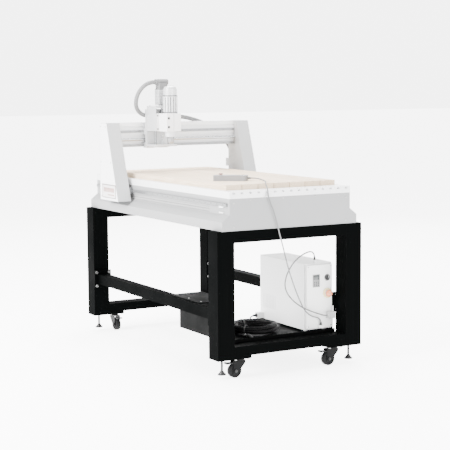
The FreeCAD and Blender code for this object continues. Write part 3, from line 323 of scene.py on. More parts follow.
cable_black = finish("cable_jacket", (0.003, 0.003, 0.0032), 0.45, mottle=0.25, patch=30, grain=1500, bump=0.2,
                     shine=0.10)
cable_grey = finish("grey_jacket", (0.15, 0.15, 0.152), 0.45, mottle=0.2, patch=30, grain=1500, bump=0.2, shine=0.3)
plug_black = finish("plug_shell", (0.02, 0.02, 0.021), 0.5, mottle=0.2, patch=40, grain=1800, bump=0.25, worn=0.3,
                    worn_colour=(0.08, 0.08, 0.08))
plug_pale = finish("pale_plug", (0.40, 0.40, 0.40), 0.5, mottle=0.08, patch=40, grain=1800, bump=0.25)
dress(plug_black, "coil_plug")
dress(plug_pale, "loop_plug")

pendant_cord = lay_cable("pendant_cable", [
    (-0.07253, -0.54334, 1.027), (-0.04889, -0.56181, 1.027), (-0.036, -0.598, 1.020), (-0.046, -0.650, 1.0164),
    (-0.074, -0.702, 1.0162), (-0.106, -0.752, 1.018), (-0.131, -0.800, 1.006), (-0.147, -0.838, 0.995),
    (-0.152, -0.853, 0.974), (-0.148, -0.852, 0.945), (-0.134, -0.851, 0.912), (-0.117, -0.852, 0.873),
    (-0.102, -0.8515, 0.828), (-0.090, -0.852, 0.782), (-0.077, -0.851, 0.740), (-0.062, -0.848, 0.697),
    (-0.042, -0.838, 0.645), (-0.018, -0.826, 0.582), (0.010, -0.813, 0.520), (0.040, -0.800, 0.462),
    (0.070, -0.788, 0.406), (0.100, -0.777, 0.355), (0.130, -0.768, 0.312), (0.162, -0.761, 0.284),
    (0.195, -0.755, 0.268), (0.222, -0.751, 0.262), (0.241, -0.7485, 0.251), (0.249, -0.747, 0.235),
    (0.249, -0.747, 0.216)], 0.0034)
loop_cord = lay_cable("loop_cable", [
    (0.235, -0.705, 0.573), (0.235, -0.705, 0.594), (0.226, -0.709, 0.612), (0.205, -0.718, 0.624),
    (0.165, -0.734, 0.623), (0.115, -0.748, 0.608), (0.072, -0.758, 0.582), (0.038, -0.762, 0.548),
    (0.014, -0.764, 0.506), (0.004, -0.765, 0.462), (0.016, -0.765, 0.419), (0.047, -0.765, 0.380),
    (0.090, -0.764, 0.345), (0.140, -0.762, 0.317), (0.190, -0.760, 0.296), (0.234, -0.758, 0.280),
    (0.260, -0.758, 0.270), (0.284, -0.758, 0.270)], 0.0038)

# The spare cable lies in one wide ring of nineteen turns, a little loose, beside the controller.
ring_x, ring_y, ring_z, ring_radius = -0.062, -0.560, 0.208, 0.112
LAYER, TURN_POINTS = 0.0094, 18
rows = [(-2, (1, 0, -1)), (-1, (-1.5, -0.5, 0.5, 1.5)), (0, (2, 1, 0, -1, -2)),
        (1, (-1.5, -0.5, 0.5, 1.5)), (2, (1, 0, -1))]
nests = [(aside * LAYER, up * LAYER) for up, row in rows for aside in row]
coil_route = [(0.118, -0.279, 0.212), (0.094, -0.279, 0.212), (0.070, -0.287, 0.206), (0.056, -0.309, 0.197),
              (0.050, -0.341, 0.1895), (0.049, -0.375, 0.186), (0.042, -0.408, 0.186), (0.020, -0.430, 0.187),
              (-0.014, -0.441, 0.188), (-0.050, -0.443, 0.188)]
for turn in range(len(nests)):
    out, up = nests[turn]
    next_out, next_up = nests[min(turn + 1, len(nests) - 1)]
    for step in range(0 if turn else 5, 7 if turn == len(nests) - 1 else TURN_POINTS):
        angle = 2 * math.pi * step / TURN_POINTS
        share = max(0.0, step / TURN_POINTS * 2 - 1)
        share *= share * (3 - 2 * share)
        loose = 1 + 0.10 * math.sin(2 * angle + 0.6) + 0.05 * math.sin(3 * angle)
        tilt = 0.35 * math.sin(angle + 0.8)
        side, high = out + (next_out - out) * share, up + (next_up - up) * share
        radial = (side * math.cos(tilt) - high * math.sin(tilt)) * loose
        lift = (side * math.sin(tilt) + high * math.cos(tilt)) * (2 - loose)
        reach = ring_radius + radial
        coil_route.append((ring_x + reach * math.cos(angle), ring_y + reach * math.sin(angle), ring_z + lift * 0.98))
coil_route += [(-0.146, -0.499, 0.222), (-0.165, -0.530, 0.212), (-0.175, -0.565, 0.201), (-0.178, -0.600, 0.193),
               (-0.178, -0.622, 0.190), (-0.178, -0.640, 0.190)]
coil_cord = lay_cable("coiled_cable", coil_route, 0.004)

for cord, nodes, spot, long, thick, end, lay, pieces in (
        (pendant_cord, ["pendant_cord"], (-0.07253, -0.54334, 1.027), 1.257, 0.0068, "object", "loose", []),
        (loop_cord, ["loop_lead"], (0.235, -0.705, 0.573), 0.713, 0.0076, "plug", "hanging", [node["loop_plug"]]),
        (coil_cord, ["coil_tail", "cable_coil"], (0.118, -0.279, 0.212), 13.3, 0.008, "plug", "coiled",
         [node["coil_plug"]])):
    cord.data.materials.append(cable_black if cord is coil_cord else cable_grey)
    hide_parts(*nodes)
    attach(cord, "stand")

hose_grey = finish("hose_rubber", (0.17, 0.17, 0.172), 0.50, mottle=0.10, patch=25, grain=1200, bump=0.2, shine=0.3)
spindle_route = [(-0.186, 0.358, 1.553), (-0.229, 0.358, 1.553), (-0.270, 0.364, 1.533), (-0.297, 0.381, 1.497),
                 (-0.306, 0.404, 1.4515), (-0.296, 0.428, 1.406), (-0.266, 0.445, 1.370), (-0.223, 0.450, 1.350),
                 (-0.176, 0.450, 1.350)]
tube, path = ribbed_hose(spindle_route, 0.013)
spindle_hose = fit("spindle_hose_tube", tube, hose_grey, "carriage", sharp=80)
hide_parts("spindle_hose")

gantry_route = [(-0.140, 0.450, 1.350), (-0.080, 0.450, 1.350), (-0.025, 0.466, 1.346), (0.030, 0.490, 1.342),
                (0.085, 0.520, 1.336), (0.140, 0.548, 1.326), (0.195, 0.566, 1.312), (0.250, 0.577, 1.294),
                (0.300, 0.584, 1.270), (0.350, 0.589, 1.240), (0.395, 0.591, 1.200), (0.428, 0.588, 1.156),
                (0.443, 0.575, 1.112), (0.443, 0.575, 1.070)]
tube, path = ribbed_hose(gantry_route, 0.013)
gantry_hose = fit("gantry_hose_tube", tube, hose_grey, None, sharp=80)
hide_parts("gantry_hose")
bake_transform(gantry_hose)

# Collars hold the hoses at both ends, and a tie and clips hold the cords.
ferrule = finish("grey_collar", (0.16, 0.16, 0.162), 0.4, mottle=0.15, patch=30, worn=0.25,
                 worn_colour=(0.3, 0.3, 0.3))
collars = bmesh.new()
two_ridges = [(0.0125, -0.009), (0.0165, -0.009), (0.0175, -0.007), (0.0175, -0.003), (0.0165, -0.001),
              (0.0165, 0.001), (0.0175, 0.003), (0.0175, 0.007), (0.0165, 0.009), (0.0125, 0.009), (0.0125, -0.009)]
for centre in ((-0.192, 0.358, 1.553), (-0.182, 0.450, 1.350), (-0.134, 0.450, 1.350)):
    turned(collars, centre, "X", two_ridges)
fit("hose_collars", collars, ferrule, "carriage")
collars = bmesh.new()
turned(collars, (0.443, 0.575, 1.078), "Z", [(0.0125, -0.008), (0.019, -0.008), (0.019, 0.0), (0.0165, 0.003),
                                             (0.0165, 0.010), (0.0125, 0.012), (0.0125, -0.008)], steps=6)
fit("hose_gland_nut", collars, ferrule, "gantry")

clips = bmesh.new()
for side in (-1, 1):
    place = Matrix.Translation((-0.152 + side * 0.0065, -0.846, 0.962))
    block(clips, (-0.002, -0.002, -0.016), (0.002, 0.002, 0.010), 0.0006,
          turn=place @ Matrix.Rotation(side * math.radians(-20), 4, "Y"))
block(clips, (-0.160, -0.848, 0.9555), (-0.144, -0.8402, 0.9585), 0.0006)
turned(clips, (-0.178, -0.655, 0.190), "Y", [(0.0036, -0.003), (0.0052, -0.003), (0.0052, 0.003), (0.0036, 0.003),
                                             (0.0036, -0.003)])
fit("cord_clip", clips, finish("clip_nylon", (0.50, 0.50, 0.50), 0.45, mottle=0.05), "stand")

bands = bmesh.new()
for angle in (100, 215, 320):
    heading = math.radians(angle)
    centre = Vector((ring_x + ring_radius * math.cos(heading), ring_y + ring_radius * math.sin(heading),
                     ring_z + 0.001))
    about = Matrix.Translation(centre) @ Matrix.Rotation(heading, 4, "Z")
    corners = [bands.verts.new(about @ Vector((radius, along, 0))) for radius, along in
               ((0.0262, -0.003), (0.0272, -0.003), (0.0272, 0.003), (0.0262, 0.003))]
    edges = [bands.edges.new((corners[i], corners[(i + 1) % 4])) for i in range(4)]
    bmesh.ops.spin(bands, geom=corners + edges, cent=centre, axis=about.to_3x3() @ Vector((0, 1, 0)),
                   angle=2 * math.pi, steps=28, use_merge=True)
fit("coil_ties", bands, plug_black, "stand")


# ---- Stand
# Two welded frames of square steel tube and two bolted stretchers, powder coated
# in semi-matt black; the weld beads show at the beams' ends.
stand_black = finish("stand_coat", (0.0010, 0.0012, 0.0012), 0.60, mottle=0.15, patch=4, grain=900, bump=0.25,
                     worn=0.3, worn_colour=(0.006, 0.0065, 0.0065), edge=0.002, shine=0.006)
dress(stand_black, "front_end_frame", "rear_end_frame", "left_stretcher", "right_stretcher")
BEAM_END, FRAME_FACE, BEAD_PITCH = 0.350, 0.842, 0.0035
beads = bmesh.new()
for side in (-1, 1):
    for hand in (-1, 1):
        for low, high in ((0.7195, 0.779), (0.1215, 0.172)):
            count = int((high - low) / BEAD_PITCH)
            for step in range(count):
                place = Matrix.Translation((hand * BEAM_END, side * FRAME_FACE,
                                            low + (step + 0.5) * (high - low) / count))
                bmesh.ops.create_icosphere(beads, subdivisions=1, radius=0.0027,
                                           matrix=place @ Matrix.Diagonal((1, 0.4, 1, 1)))
        for z in (0.718, 0.1725):
            for step in range(24):
                place = Matrix.Translation((hand * BEAM_END, side * (FRAME_FACE - 0.004 - step * 0.004), z))
                bmesh.ops.create_icosphere(beads, subdivisions=1, radius=0.0026, matrix=place)
fit("frame_welds", beads, stand_black, "stand", sharp=60)

dark_zinc = finish("dark_zinc", (0.03, 0.03, 0.03), 0.35, metal=0.6, mottle=0.2, patch=25, grain=500, bump=0.1,
                   worn=0.4, worn_colour=(0.22, 0.22, 0.22), shine=0.3)
zinc = finish("zinc_plate", (0.42, 0.42, 0.41), 0.32, metal=1.0, mottle=0.12, patch=18, grain=500, bump=0.1,
              worn=0.3, worn_colour=(0.75, 0.75, 0.74))
dress(zinc, "stand_fasteners")
fork_black = finish("fork_black", (0.005, 0.005, 0.0052), 0.38, mottle=0.2, patch=25, grain=500, bump=0.1,
                    worn=0.4, worn_colour=(0.08, 0.08, 0.08), shine=0.06)
dress(fork_black, "castor_top_plates")
sockets = bmesh.new()
for hand in (-1, 1):
    for side in (-1, 1):
        face = side * (0.742 - 0.010 - 0.006)
        for dx in (-0.042, 0.042):
            for dz in (-0.042, 0.042):
                head = Vector((hand * 0.395 + dx, face, 0.336 + dz))
                turned(sockets, head, "Y",
                       [(0.0042, 0.0), (0.0046, side * -0.0006), (0.0079, side * -0.0006), (0.0086, side * 0.0006)],
                       steps=24)
                peg(sockets, head - Vector((0, side * 0.0001, 0)), "Y", 0.0042, 0.0004, sides=6)
fit("bolt_sockets", sockets, finish("socket_dark", (0.10, 0.10, 0.10), 0.4, metal=1.0), "stand")


# ---- Controller shelf
# A tray of folded black sheet hung over the stretchers; its front lip is turned up
# and screwed to the frame.
shelf_black = finish("shelf_sheet", (0.0016, 0.0018, 0.0018), 0.50, mottle=0.25, patch=7, grain=800, bump=0.2,
                     worn=0.4, worn_colour=(0.009, 0.009, 0.009), shine=0.02)
dress(shelf_black, "controller_shelf")
strip = bmesh.new()
block(strip, (-0.344, -0.7418, 0.1714), (0.344, -0.7385, 0.1772), 0.0006)
fit("shelf_strip", strip, shelf_black, "stand")
rivets = bmesh.new()
for hand in (-1, 1):
    for y in (-0.52, -0.38, -0.25):
        turned(rivets, (hand * 0.375, y, 0.3691), "Z", [(0.0, 0.0022), (0.003, 0.0018), (0.0048, 0.0),
                                                        (0.0048, -0.0008)], steps=16)
fit("shelf_rivets", rivets, zinc, "stand")


# ---- Castors and levelling feet
# Swivel castors with pressed black forks, black tyres on ribbed hubs and a foot
# brake each; beside each stands a levelling foot on a threaded rod.
tyre = finish("castor_rubber", (0.005, 0.005, 0.0053), 0.55, mottle=0.25, patch=30, grain=900, bump=0.3,
              worn=0.3, worn_colour=(0.03, 0.03, 0.029), shine=0.12)
pedal = finish("pedal_nylon", (0.010, 0.010, 0.011), 0.5, mottle=0.15, patch=30, grain=1500, bump=0.3, shine=0.3)
hub_nylon = finish("hub_nylon", (0.012, 0.012, 0.012), 0.5, mottle=0.15, patch=40, grain=1500, bump=0.3, shine=0.15)
CASTOR_X, CASTOR_Y, FOOT_X = 0.295, 0.792, 0.401
FOOT_TURNS, FOOT_STEPS = 30, 12
for corner, hand, side in (("front_left", -1, -1), ("front_right", 1, -1), ("rear_left", -1, 1),
                           ("rear_right", 1, 1)):
    dress(fork_black, f"castor_fork_{corner}")
    dress(dark_zinc, f"levelling_foot_{corner}")
    dress(tyre, f"castor_wheel_{corner}")
    dress(pedal, f"castor_brake_{corner}")
    pivot = Vector((hand * CASTOR_X, side * CASTOR_Y, 0))
    axle, trail = ("Y", Vector((-0.031, 0, 0.0375))) if side < 0 else ("X", Vector((0, -0.031, 0.0375)))
    along = Vector((0, 1, 0)) if axle == "Y" else Vector((1, 0, 0))
    centre = pivot + trail
    nuts = bmesh.new()
    for end in (-1, 1):
        peg(nuts, centre + along * end * 0.0222, axle, 0.0085, 0.0045, sides=6)
        turned(nuts, centre + along * end * 0.0246, axle, [(0.0, end * 0.0022), (0.0035, end * 0.0020),
                                                           (0.0042, end * 0.0006), (0.0042, -end * 0.0006)], steps=16)
    fit(f"axle_nuts_{corner}", nuts, dark_zinc, f"castor_{corner}")
    ribs = bmesh.new()
    for end in (-1, 1):
        hub = centre + along * end * 0.0105
        turned(ribs, hub, axle, [(0.0262, -end * 0.0008), (0.0262, end * 0.0012), (0.0272, end * 0.0018),
                                 (0.0284, end * 0.0012), (0.0284, -end * 0.0008)], steps=40)
        for spoke in range(5):
            spin = Matrix.Translation(hub) @ Matrix.Rotation(2 * math.pi * spoke / 5, 4, axle)
            block(ribs, (-0.0015, -0.0015, 0.0135), (0.0015, 0.0015, 0.0275), 0.0004, turn=spin)
    fit(f"wheel_ribs_{corner}", ribs, hub_nylon, f"wheel_{corner}")
    treads = bmesh.new()
    outward = Vector((-1, 0, 0)) if side < 0 else Vector((0, -1, 0))
    hinge = pivot + outward * 0.037 + Vector((0, 0, 0.0795))
    for line in range(4):
        middle = hinge + outward * (0.0375 + line * 0.0030) + Vector((0, 0, 0.0048))
        half = Vector((0.0006, 0.0145, 0.0007) if side < 0 else (0.0145, 0.0006, 0.0007))
        block(treads, middle - half, middle + half, 0.0003)
    fit(f"pedal_grip_{corner}", treads, pedal, f"brake_{corner}")
    thread = bmesh.new()
    foot = Vector((hand * FOOT_X, side * CASTOR_Y, 0))
    turned(thread, foot + Vector((0, 0, 0.0455)), "Z", [(0.0058, -0.0006), (0.00625, 0.0), (0.0058, 0.0006)],
           steps=FOOT_TURNS * FOOT_STEPS, angle=FOOT_TURNS * 2 * math.pi, climb=0.0019 / FOOT_STEPS)
    turned(thread, foot + Vector((0, 0, 0.0265)), "Z", [(0.0205, 0.0005), (0.0222, 0.0012), (0.0226, 0.0),
                                                        (0.0222, -0.0035), (0.0205, -0.0040)], steps=40)
    fit(f"foot_thread_{corner}", thread, dark_zinc, f"foot_{corner}", sharp=50)
plate_screws = bmesh.new()
for hand in (-1, 1):
    for side in (-1, 1):
        for dx in (-0.038, 0.038):
            for dy in (-0.030, 0.030):
                peg(plate_screws, (hand * CASTOR_X + dx, side * CASTOR_Y + dy, 0.0995), "Z", 0.0062, 0.0046, sides=6)
fit("castor_plate_screws", plate_screws, zinc, "stand")


# ---- Machine base
# A folded and welded housing, painted grey, closed at the front by a plate; a
# channel runs along each side, and two limit switches sit near the front.
base_grey = finish("base_coat", (0.27, 0.272, 0.275), 0.45, mottle=0.05, patch=3, grain=800, bump=0.18,
                   worn=0.3, worn_colour=(0.55, 0.55, 0.55), edge=0.002)
dress(base_grey, "base_housing")
COVER = 0.8398
details = bmesh.new()
for hand in (-1, 1):
    for z in (0.800, 0.925):
        turned(details, (hand * 0.350, -COVER, z), "Y", [(0.0, -0.0030), (0.0028, -0.0027), (0.0050, -0.0006),
                                                         (0.0050, 0.0004)], steps=20)
for side in (-1, 1):
    for x in (-0.25, -0.05, 0.15, 0.30):
        turned(details, (x, side * COVER, 0.938), "Y", [(0.0, side * 0.0022), (0.0022, side * 0.0020),
                                                        (0.0040, side * 0.0005), (0.0040, -side * 0.0004)], steps=16)
fit("base_screws", details, zinc, "stand")
switches = bmesh.new()
for low, high in (((-0.3835, -0.781, 0.897), (-0.3752, -0.739, 0.921)),
                  ((-0.3835, -0.781, 0.869), (-0.3752, -0.739, 0.876))):
    block(switches, low, high, 0.0012)
block(switches, (-0.3850, -0.770, 0.902), (-0.3830, -0.750, 0.916), 0.0006)
fit("limit_switches", switches, finish("switch_white", (0.80, 0.80, 0.80), 0.4, mottle=0.03), "stand")
seam = bmesh.new()
for hand in (-1, 1):
    block(seam, (hand * 0.4184 - 0.0009, -0.838, 0.7825), (hand * 0.4184 + 0.0009, 0.838, 0.7845), 0.0004)
fit("base_seams", seam, base_grey, "stand")
brushes = bmesh.new()
for left in (-0.3685, 0.3675):
    for low, high in ((0.8645, 0.8802), (0.8818, 0.8975)):
        block(brushes, (left, -0.632, low), (left + 0.001, 0.712, high), 0.0003)
bristle = finish("brush_bristle", (0.30, 0.30, 0.30), 0.8, mottle=0.25, patch=300, grain=900, bump=0.6,
                 deep=0.0006, stretch=(1, 1, 0.05))
fit("slot_brushes", brushes, bristle, "stand")


# ---- T-slot plate and slats
# An extruded aluminium plate with fifteen T-slots, and seven planed boards
# screwed down on it with countersunk screws.
bed_silver = finish("bed_extrusion", (0.86, 0.865, 0.87), 0.38, metal=0.15, mottle=0.07, patch=3, grain=500,
                    bump=0.15, stretch=(6, 0.4, 6), worn=0.25, worn_colour=(0.85, 0.85, 0.85), edge=0.0008)
dress(bed_silver, "t_slot_plate")


def board_wood():
    """Pale sawn board: long fibres, a tint of its own for each board, and dark pores."""
    wood = bpy.data.materials.new("board_wood")
    wood.use_nodes = True
    tree = wood.node_tree
    add, link = tree.nodes.new, tree.links.new
    shader = tree.nodes["Principled BSDF"]
    where, fibre_scale, pore_scale, split = (add("ShaderNodeTexCoord"), add("ShaderNodeMapping"),
                                             add("ShaderNodeMapping"), add("ShaderNodeSeparateXYZ"))
    fibre_scale.inputs["Scale"].default_value = (38, 1.6, 38)
    pore_scale.inputs["Scale"].default_value = (420, 9, 420)
    fibre, pore, each, plank = (add("ShaderNodeTexNoise"), add("ShaderNodeTexNoise"), add("ShaderNodeMath"),
                                add("ShaderNodeTexWhiteNoise"))
    fibre.inputs["Detail"].default_value = 6
    fibre.inputs["Distortion"].default_value = 0.6
    each.operation = "DIVIDE"
    each.inputs[1].default_value = 0.098
    whole = add("ShaderNodeMath")
    whole.operation = "ROUND"
    plank.noise_dimensions = "1D"
    link(where.outputs["Object"], fibre_scale.inputs["Vector"])
    link(where.outputs["Object"], pore_scale.inputs["Vector"])
    link(where.outputs["Object"], split.inputs["Vector"])
    link(fibre_scale.outputs["Vector"], fibre.inputs["Vector"])
    link(pore_scale.outputs["Vector"], pore.inputs["Vector"])
    link(split.outputs["X"], each.inputs[0])
    link(each.outputs["Value"], whole.inputs[0])
    link(whole.outputs["Value"], plank.inputs["W"])
    ramp = add("ShaderNodeValToRGB")
    ramp.color_ramp.elements[0].position, ramp.color_ramp.elements[0].color = 0.30, (0.62, 0.46, 0.31, 1)
    ramp.color_ramp.elements[1].position, ramp.color_ramp.elements[1].color = 0.72, (0.85, 0.71, 0.54, 1)
    link(fibre.outputs["Fac"], ramp.inputs["Fac"])
    tint, dark = add("ShaderNodeMix"), add("ShaderNodeMix")
    tint.data_type = dark.data_type = "RGBA"
    tint.blend_type = "MULTIPLY"
    tint.inputs["B"].default_value = (0.88, 0.86, 0.84, 1)
    link(plank.outputs["Value"], tint.inputs["Factor"])
    link(ramp.outputs["Color"], tint.inputs["A"])
    pores = add("ShaderNodeMapRange")
    pores.inputs["From Min"].default_value, pores.inputs["From Max"].default_value = 0.66, 0.80
    pores.inputs["To Max"].default_value = 0.5
    link(pore.outputs["Fac"], pores.inputs["Value"])
    dark.inputs["B"].default_value = (0.45, 0.33, 0.22, 1)
    link(pores.outputs["Result"], dark.inputs["Factor"])
    link(tint.outputs["Result"], dark.inputs["A"])
    link(dark.outputs["Result"], shader.inputs["Base Color"])
    gloss, relief = add("ShaderNodeMapRange"), add("ShaderNodeBump")
    gloss.inputs["To Min"].default_value, gloss.inputs["To Max"].default_value = 0.55, 0.75
    link(fibre.outputs["Fac"], gloss.inputs["Value"])
    link(gloss.outputs["Result"], shader.inputs["Roughness"])
    relief.inputs["Strength"].default_value, relief.inputs["Distance"].default_value = 0.3, 0.0004
    link(pore.outputs["Fac"], relief.inputs["Height"])
    link(relief.outputs["Normal"], shader.inputs["Normal"])
    return wood


dress(board_wood(), "spoilboard")
BOARD_PITCH = 0.098
screws = bmesh.new()
for board in range(7):
    for y in (-0.705, -0.345, 0.015, 0.375, 0.665):
        turned(screws, ((board - 3) * BOARD_PITCH, y, 1.0121), "Z",
               [(0.0, -0.0002), (0.0018, -0.0002), (0.0022, 0.0004), (0.0042, 0.0004), (0.0050, 0.0),
                (0.0050, -0.0010)], steps=16)
fit("board_screws", screws, zinc, "stand")


# ---- Y rails, screw and bearing blocks
# Ground steel rails bolted along the base, and a rolled ball screw under the bed;
# the blocks that run on them carry the gantry.
PITCH, THREAD_STEPS = 0.005, 14
rail_steel = finish("ground_rail", (0.30, 0.305, 0.31), 0.24, metal=0.9, mottle=0.08, patch=8, grain=300, bump=0.06,
                    stretch=(8, 0.5, 8))
screw_steel = finish("rolled_screw", (0.55, 0.56, 0.57), 0.2, metal=1.0, mottle=0.08, patch=12, grain=400, bump=0.06)
motor_black = finish("motor_coat", (0.03, 0.03, 0.032), 0.4, mottle=0.15, patch=12, grain=800, bump=0.2, worn=0.4,
                     worn_colour=(0.14, 0.14, 0.14))
dress(rail_steel, "y_rails", "y_bearing_blocks", "x_rails", "z_guide_rods")
dress(screw_steel, "y_screw", "x_screw", "z_screw")
dress(motor_black, "y_motor", "x_motor")
# Darker discs for the rail bolts: the screw heads' own dark steel plus painted shade of their counterbored holes.
bolts = bmesh.new()
for hand in (-1, 1):
    for count in range(26):
        peg(bolts, (hand * 0.3881, -0.79 + count * 0.0632, 0.915), "X", 0.0036, 0.0003, sides=14)
fit("y_rail_bolts", bolts, finish("bolt_hole_painted_shade", (0.20, 0.20, 0.20), 0.5, metal=0.6), "stand")
for name, spot, axis, radius, span, body in (
        ("y_screw_thread", (0, -0.785, 0.880), "Y", 0.0100, 1.515, "y_ball_screw"),
        ("x_screw_thread", (-0.398, 0.455, 1.209), "X", 0.0080, 0.796, "x_ball_screw"),
        ("z_screw_thread", (-0.158, 0.358, 1.190), "Z", 0.0060, 0.205, "z_ball_screw")):
    thread = bmesh.new()
    turned(thread, spot, axis, [(radius - 0.0004, -0.0017), (radius + 0.00022, -0.0010), (radius + 0.00022, 0.0010),
                                (radius - 0.0004, 0.0017)],
           steps=THREAD_STEPS, climb=PITCH / THREAD_STEPS)
    turns = fit(name, thread, screw_steel, body, sharp=50).modifiers.new("turns", "ARRAY")
    turns.count = int(span / PITCH)
    turns.use_relative_offset, turns.use_constant_offset = False, True
    turns.constant_offset_displace = ALONG[axis].to_3x3() @ Vector((0, 0, PITCH))
    turns.use_merge_vertices = True


# ---- Gantry
# Two housings of folded grey sheet, with the extruded beam between them; the left one carries a label plate. Their
# faces are coloured by the way they point: white on the sides that face away from the bed as painted light, grey on
# the front, inner and top faces as painted shade.
housing_pale = finish("housing_coat", (0.40, 0.405, 0.41), 0.42, mottle=0.04, patch=3, grain=800, bump=0.18,
                      worn=0.25, worn_colour=(0.85, 0.85, 0.85), edge=0.002)
beam_silver = finish("beam_extrusion", (0.86, 0.865, 0.87), 0.34, metal=0.30, mottle=0.07, patch=4, grain=400,
                     bump=0.12, stretch=(0.4, 6, 6), worn=0.2, worn_colour=(0.85, 0.85, 0.85), edge=0.0008)
plate_silver = finish("milled_plate", (0.60, 0.605, 0.61), 0.36, metal=0.4, mottle=0.08, patch=9, grain=350,
                      bump=0.15, stretch=(1, 1, 5), worn=0.3, worn_colour=(0.8, 0.8, 0.8))
# Painted light and shade: a mask from each face's position and direction paints the faces that point outward white,
# and every other face keeps the grey as painted shade.
tree = housing_pale.node_tree
spot, place, way, product, lit_side_mask, light_and_shade_mix = (tree.nodes.new(kind) for kind in (
    "ShaderNodeTexCoord", "ShaderNodeSeparateXYZ", "ShaderNodeSeparateXYZ", "ShaderNodeMath",
    "ShaderNodeMapRange", "ShaderNodeMix"))
product.operation = "MULTIPLY"
lit_side_mask.inputs["From Min"].default_value, lit_side_mask.inputs["From Max"].default_value = 0.30, 0.42
light_and_shade_mix.data_type = "RGBA"
light_and_shade_mix.inputs["B"].default_value = (0.88, 0.88, 0.885, 1)
paint = tree.nodes["Principled BSDF"].inputs["Base Color"]
for source, target in ((spot.outputs["Object"], place.inputs["Vector"]),
                       (spot.outputs["Normal"], way.inputs["Vector"]),
                       (place.outputs["X"], product.inputs[0]), (way.outputs["X"], product.inputs[1]),
                       (product.outputs["Value"], lit_side_mask.inputs["Value"]),
                       (lit_side_mask.outputs["Result"], light_and_shade_mix.inputs["Factor"]),
                       (paint.links[0].from_socket, light_and_shade_mix.inputs["A"]), (light_and_shade_mix.outputs["Result"], paint)):
    tree.links.new(source, target)
dress(housing_pale, "gantry_left_housing", "gantry_right_housing")
dress(beam_silver, "gantry_beam")
dress(plate_silver, "gantry_cross_tie", "x_carriage", "z_housing")
screws = bmesh.new()
for hand in (-1, 1):
    for y, z in ((0.325, 0.875), (0.520, 0.875), (0.520, 1.080), (0.520, 1.290), (0.455, 1.290), (0.385, 1.080)):
        for face, way in ((hand * 0.486, hand), (hand * 0.401, -hand)):
            if face * hand < 0.41 and (y < 0.50 or z < 0.9):
                continue
            turned(screws, (face, y, z), "X", [(0.0, way * 0.0026), (0.0024, way * 0.0024), (0.0045, way * 0.0008),
                                               (0.0045, -way * 0.0004)], steps=18)
fit("housing_screws", screws, zinc, "gantry")
seams = bmesh.new()
for hand in (-1, 1):
    block(seams, (hand * 0.4855 - 0.0011, 0.534, 0.856), (hand * 0.4855 + 0.0011, 0.536, 1.310), 0.0004)
    middle = hand * 0.4435
    block(seams, (middle - 0.0405, 0.5392, 0.99), (middle + 0.0405, 0.5408, 0.992), 0.0003)
fit("housing_seams", seams, housing_pale, "gantry")
label = bmesh.new()
block(label, (-0.4872, 0.318, 0.868), (-0.4858, 0.512, 0.950), 0.0006)
fit("label_plate", label, finish("label_frame", (0.22, 0.195, 0.19), 0.35, mottle=0.1, patch=40), "gantry")
label = bmesh.new()
block(label, (-0.4875, 0.325, 0.874), (-0.4868, 0.505, 0.944), 0.0003)
fit("label_face", label, finish("label_white", (0.72, 0.69, 0.68), 0.35, mottle=0.04, patch=40), "gantry")
label = bmesh.new()
block(label, (-0.4878, 0.340, 0.904), (-0.4873, 0.490, 0.930), 0.0002)
block(label, (-0.4878, 0.340, 0.884), (-0.4873, 0.430, 0.892), 0.0002)
fit("label_band", label, finish("label_red", (0.40, 0.27, 0.25), 0.35, mottle=0.12, patch=60), "gantry")
# The same darker discs for the X rail bolts: the screw heads plus painted shade of their holes.
bolts = bmesh.new()
for z in (1.174, 1.258):
    for count in range(14):
        peg(bolts, (-0.38 + count * 0.0585, 0.4569, z), "Y", 0.0036, 0.0003, sides=14)
fit("x_rail_bolts", bolts, bpy.data.materials["bolt_hole_painted_shade"], "gantry")


# ---- Carriage and Z axis
# A milled plate carries a box with two guide rods, a lift screw and its motor
# on top; the spindle's clamp slides in it.
HEAD_X, ROD_Y, SPINDLE_Y = -0.158, 0.358, 0.246
slide_pale = finish("clamp_block", (0.90, 0.90, 0.895), 0.36, metal=0.10, mottle=0.05, patch=12, grain=450, bump=0.12,
                    worn=0.25, worn_colour=(0.92, 0.92, 0.92))
dress(slide_pale, "z_slide_clamp")
dress(hose_grey, "hose_block")
motor_case = finish("motor_case", (0.55, 0.555, 0.56), 0.38, metal=0.4, mottle=0.08, patch=14, grain=600, bump=0.15,
                    worn=0.3, worn_colour=(0.7, 0.7, 0.7))
dress(motor_case, "z_motor")
caps = bmesh.new()
for z in (1.4185, 1.5060):
    block(caps, (-0.1888, 0.3272, z), (-0.1272, 0.3888, z + 0.0060), 0.0015)
for step in range(8):
    block(caps, (-0.1885, 0.3275, 1.4300 + step * 0.0090), (-0.1275, 0.3885, 1.4318 + step * 0.0090), 0.0004)
fit("motor_end_bells", caps, ferrule, "carriage")
screws = bmesh.new()
for x in (-0.223, -0.093):
    for z in (1.172, 1.290, 1.380):
        peg(screws, (x, 0.4165, z), "Y", 0.0048, 0.0034, sides=20)
        peg(screws, (x, 0.4146, z), "Y", 0.0024, 0.0006, sides=6)
for x in (-0.215, -0.101):
    for y in (0.315, 0.403):
        peg(screws, (x, y, 1.4122), "Z", 0.0042, 0.0030, sides=20)
fit("carriage_screws", screws, finish("black_steel", (0.05, 0.05, 0.052), 0.35, metal=0.8, mottle=0.1, patch=30),
    "carriage")
screws = bmesh.new()
for z in (1.288, 1.340):
    turned(screws, (-0.192, 0.2000, z), "Y", [(0.0, -0.0006), (0.0030, -0.0006), (0.0034, -0.0022), (0.0066, -0.0022),
                                              (0.0075, -0.0012), (0.0075, 0.0004)], steps=24)
for x in (-0.212, -0.104):
    for z in (1.275, 1.354):
        peg(screws, (x, 0.3052, z), "Y", 0.0042, 0.0026, sides=20)
fit("clamp_screws", screws, bpy.data.materials["black_steel"], "z_slide")
wipers = bmesh.new()
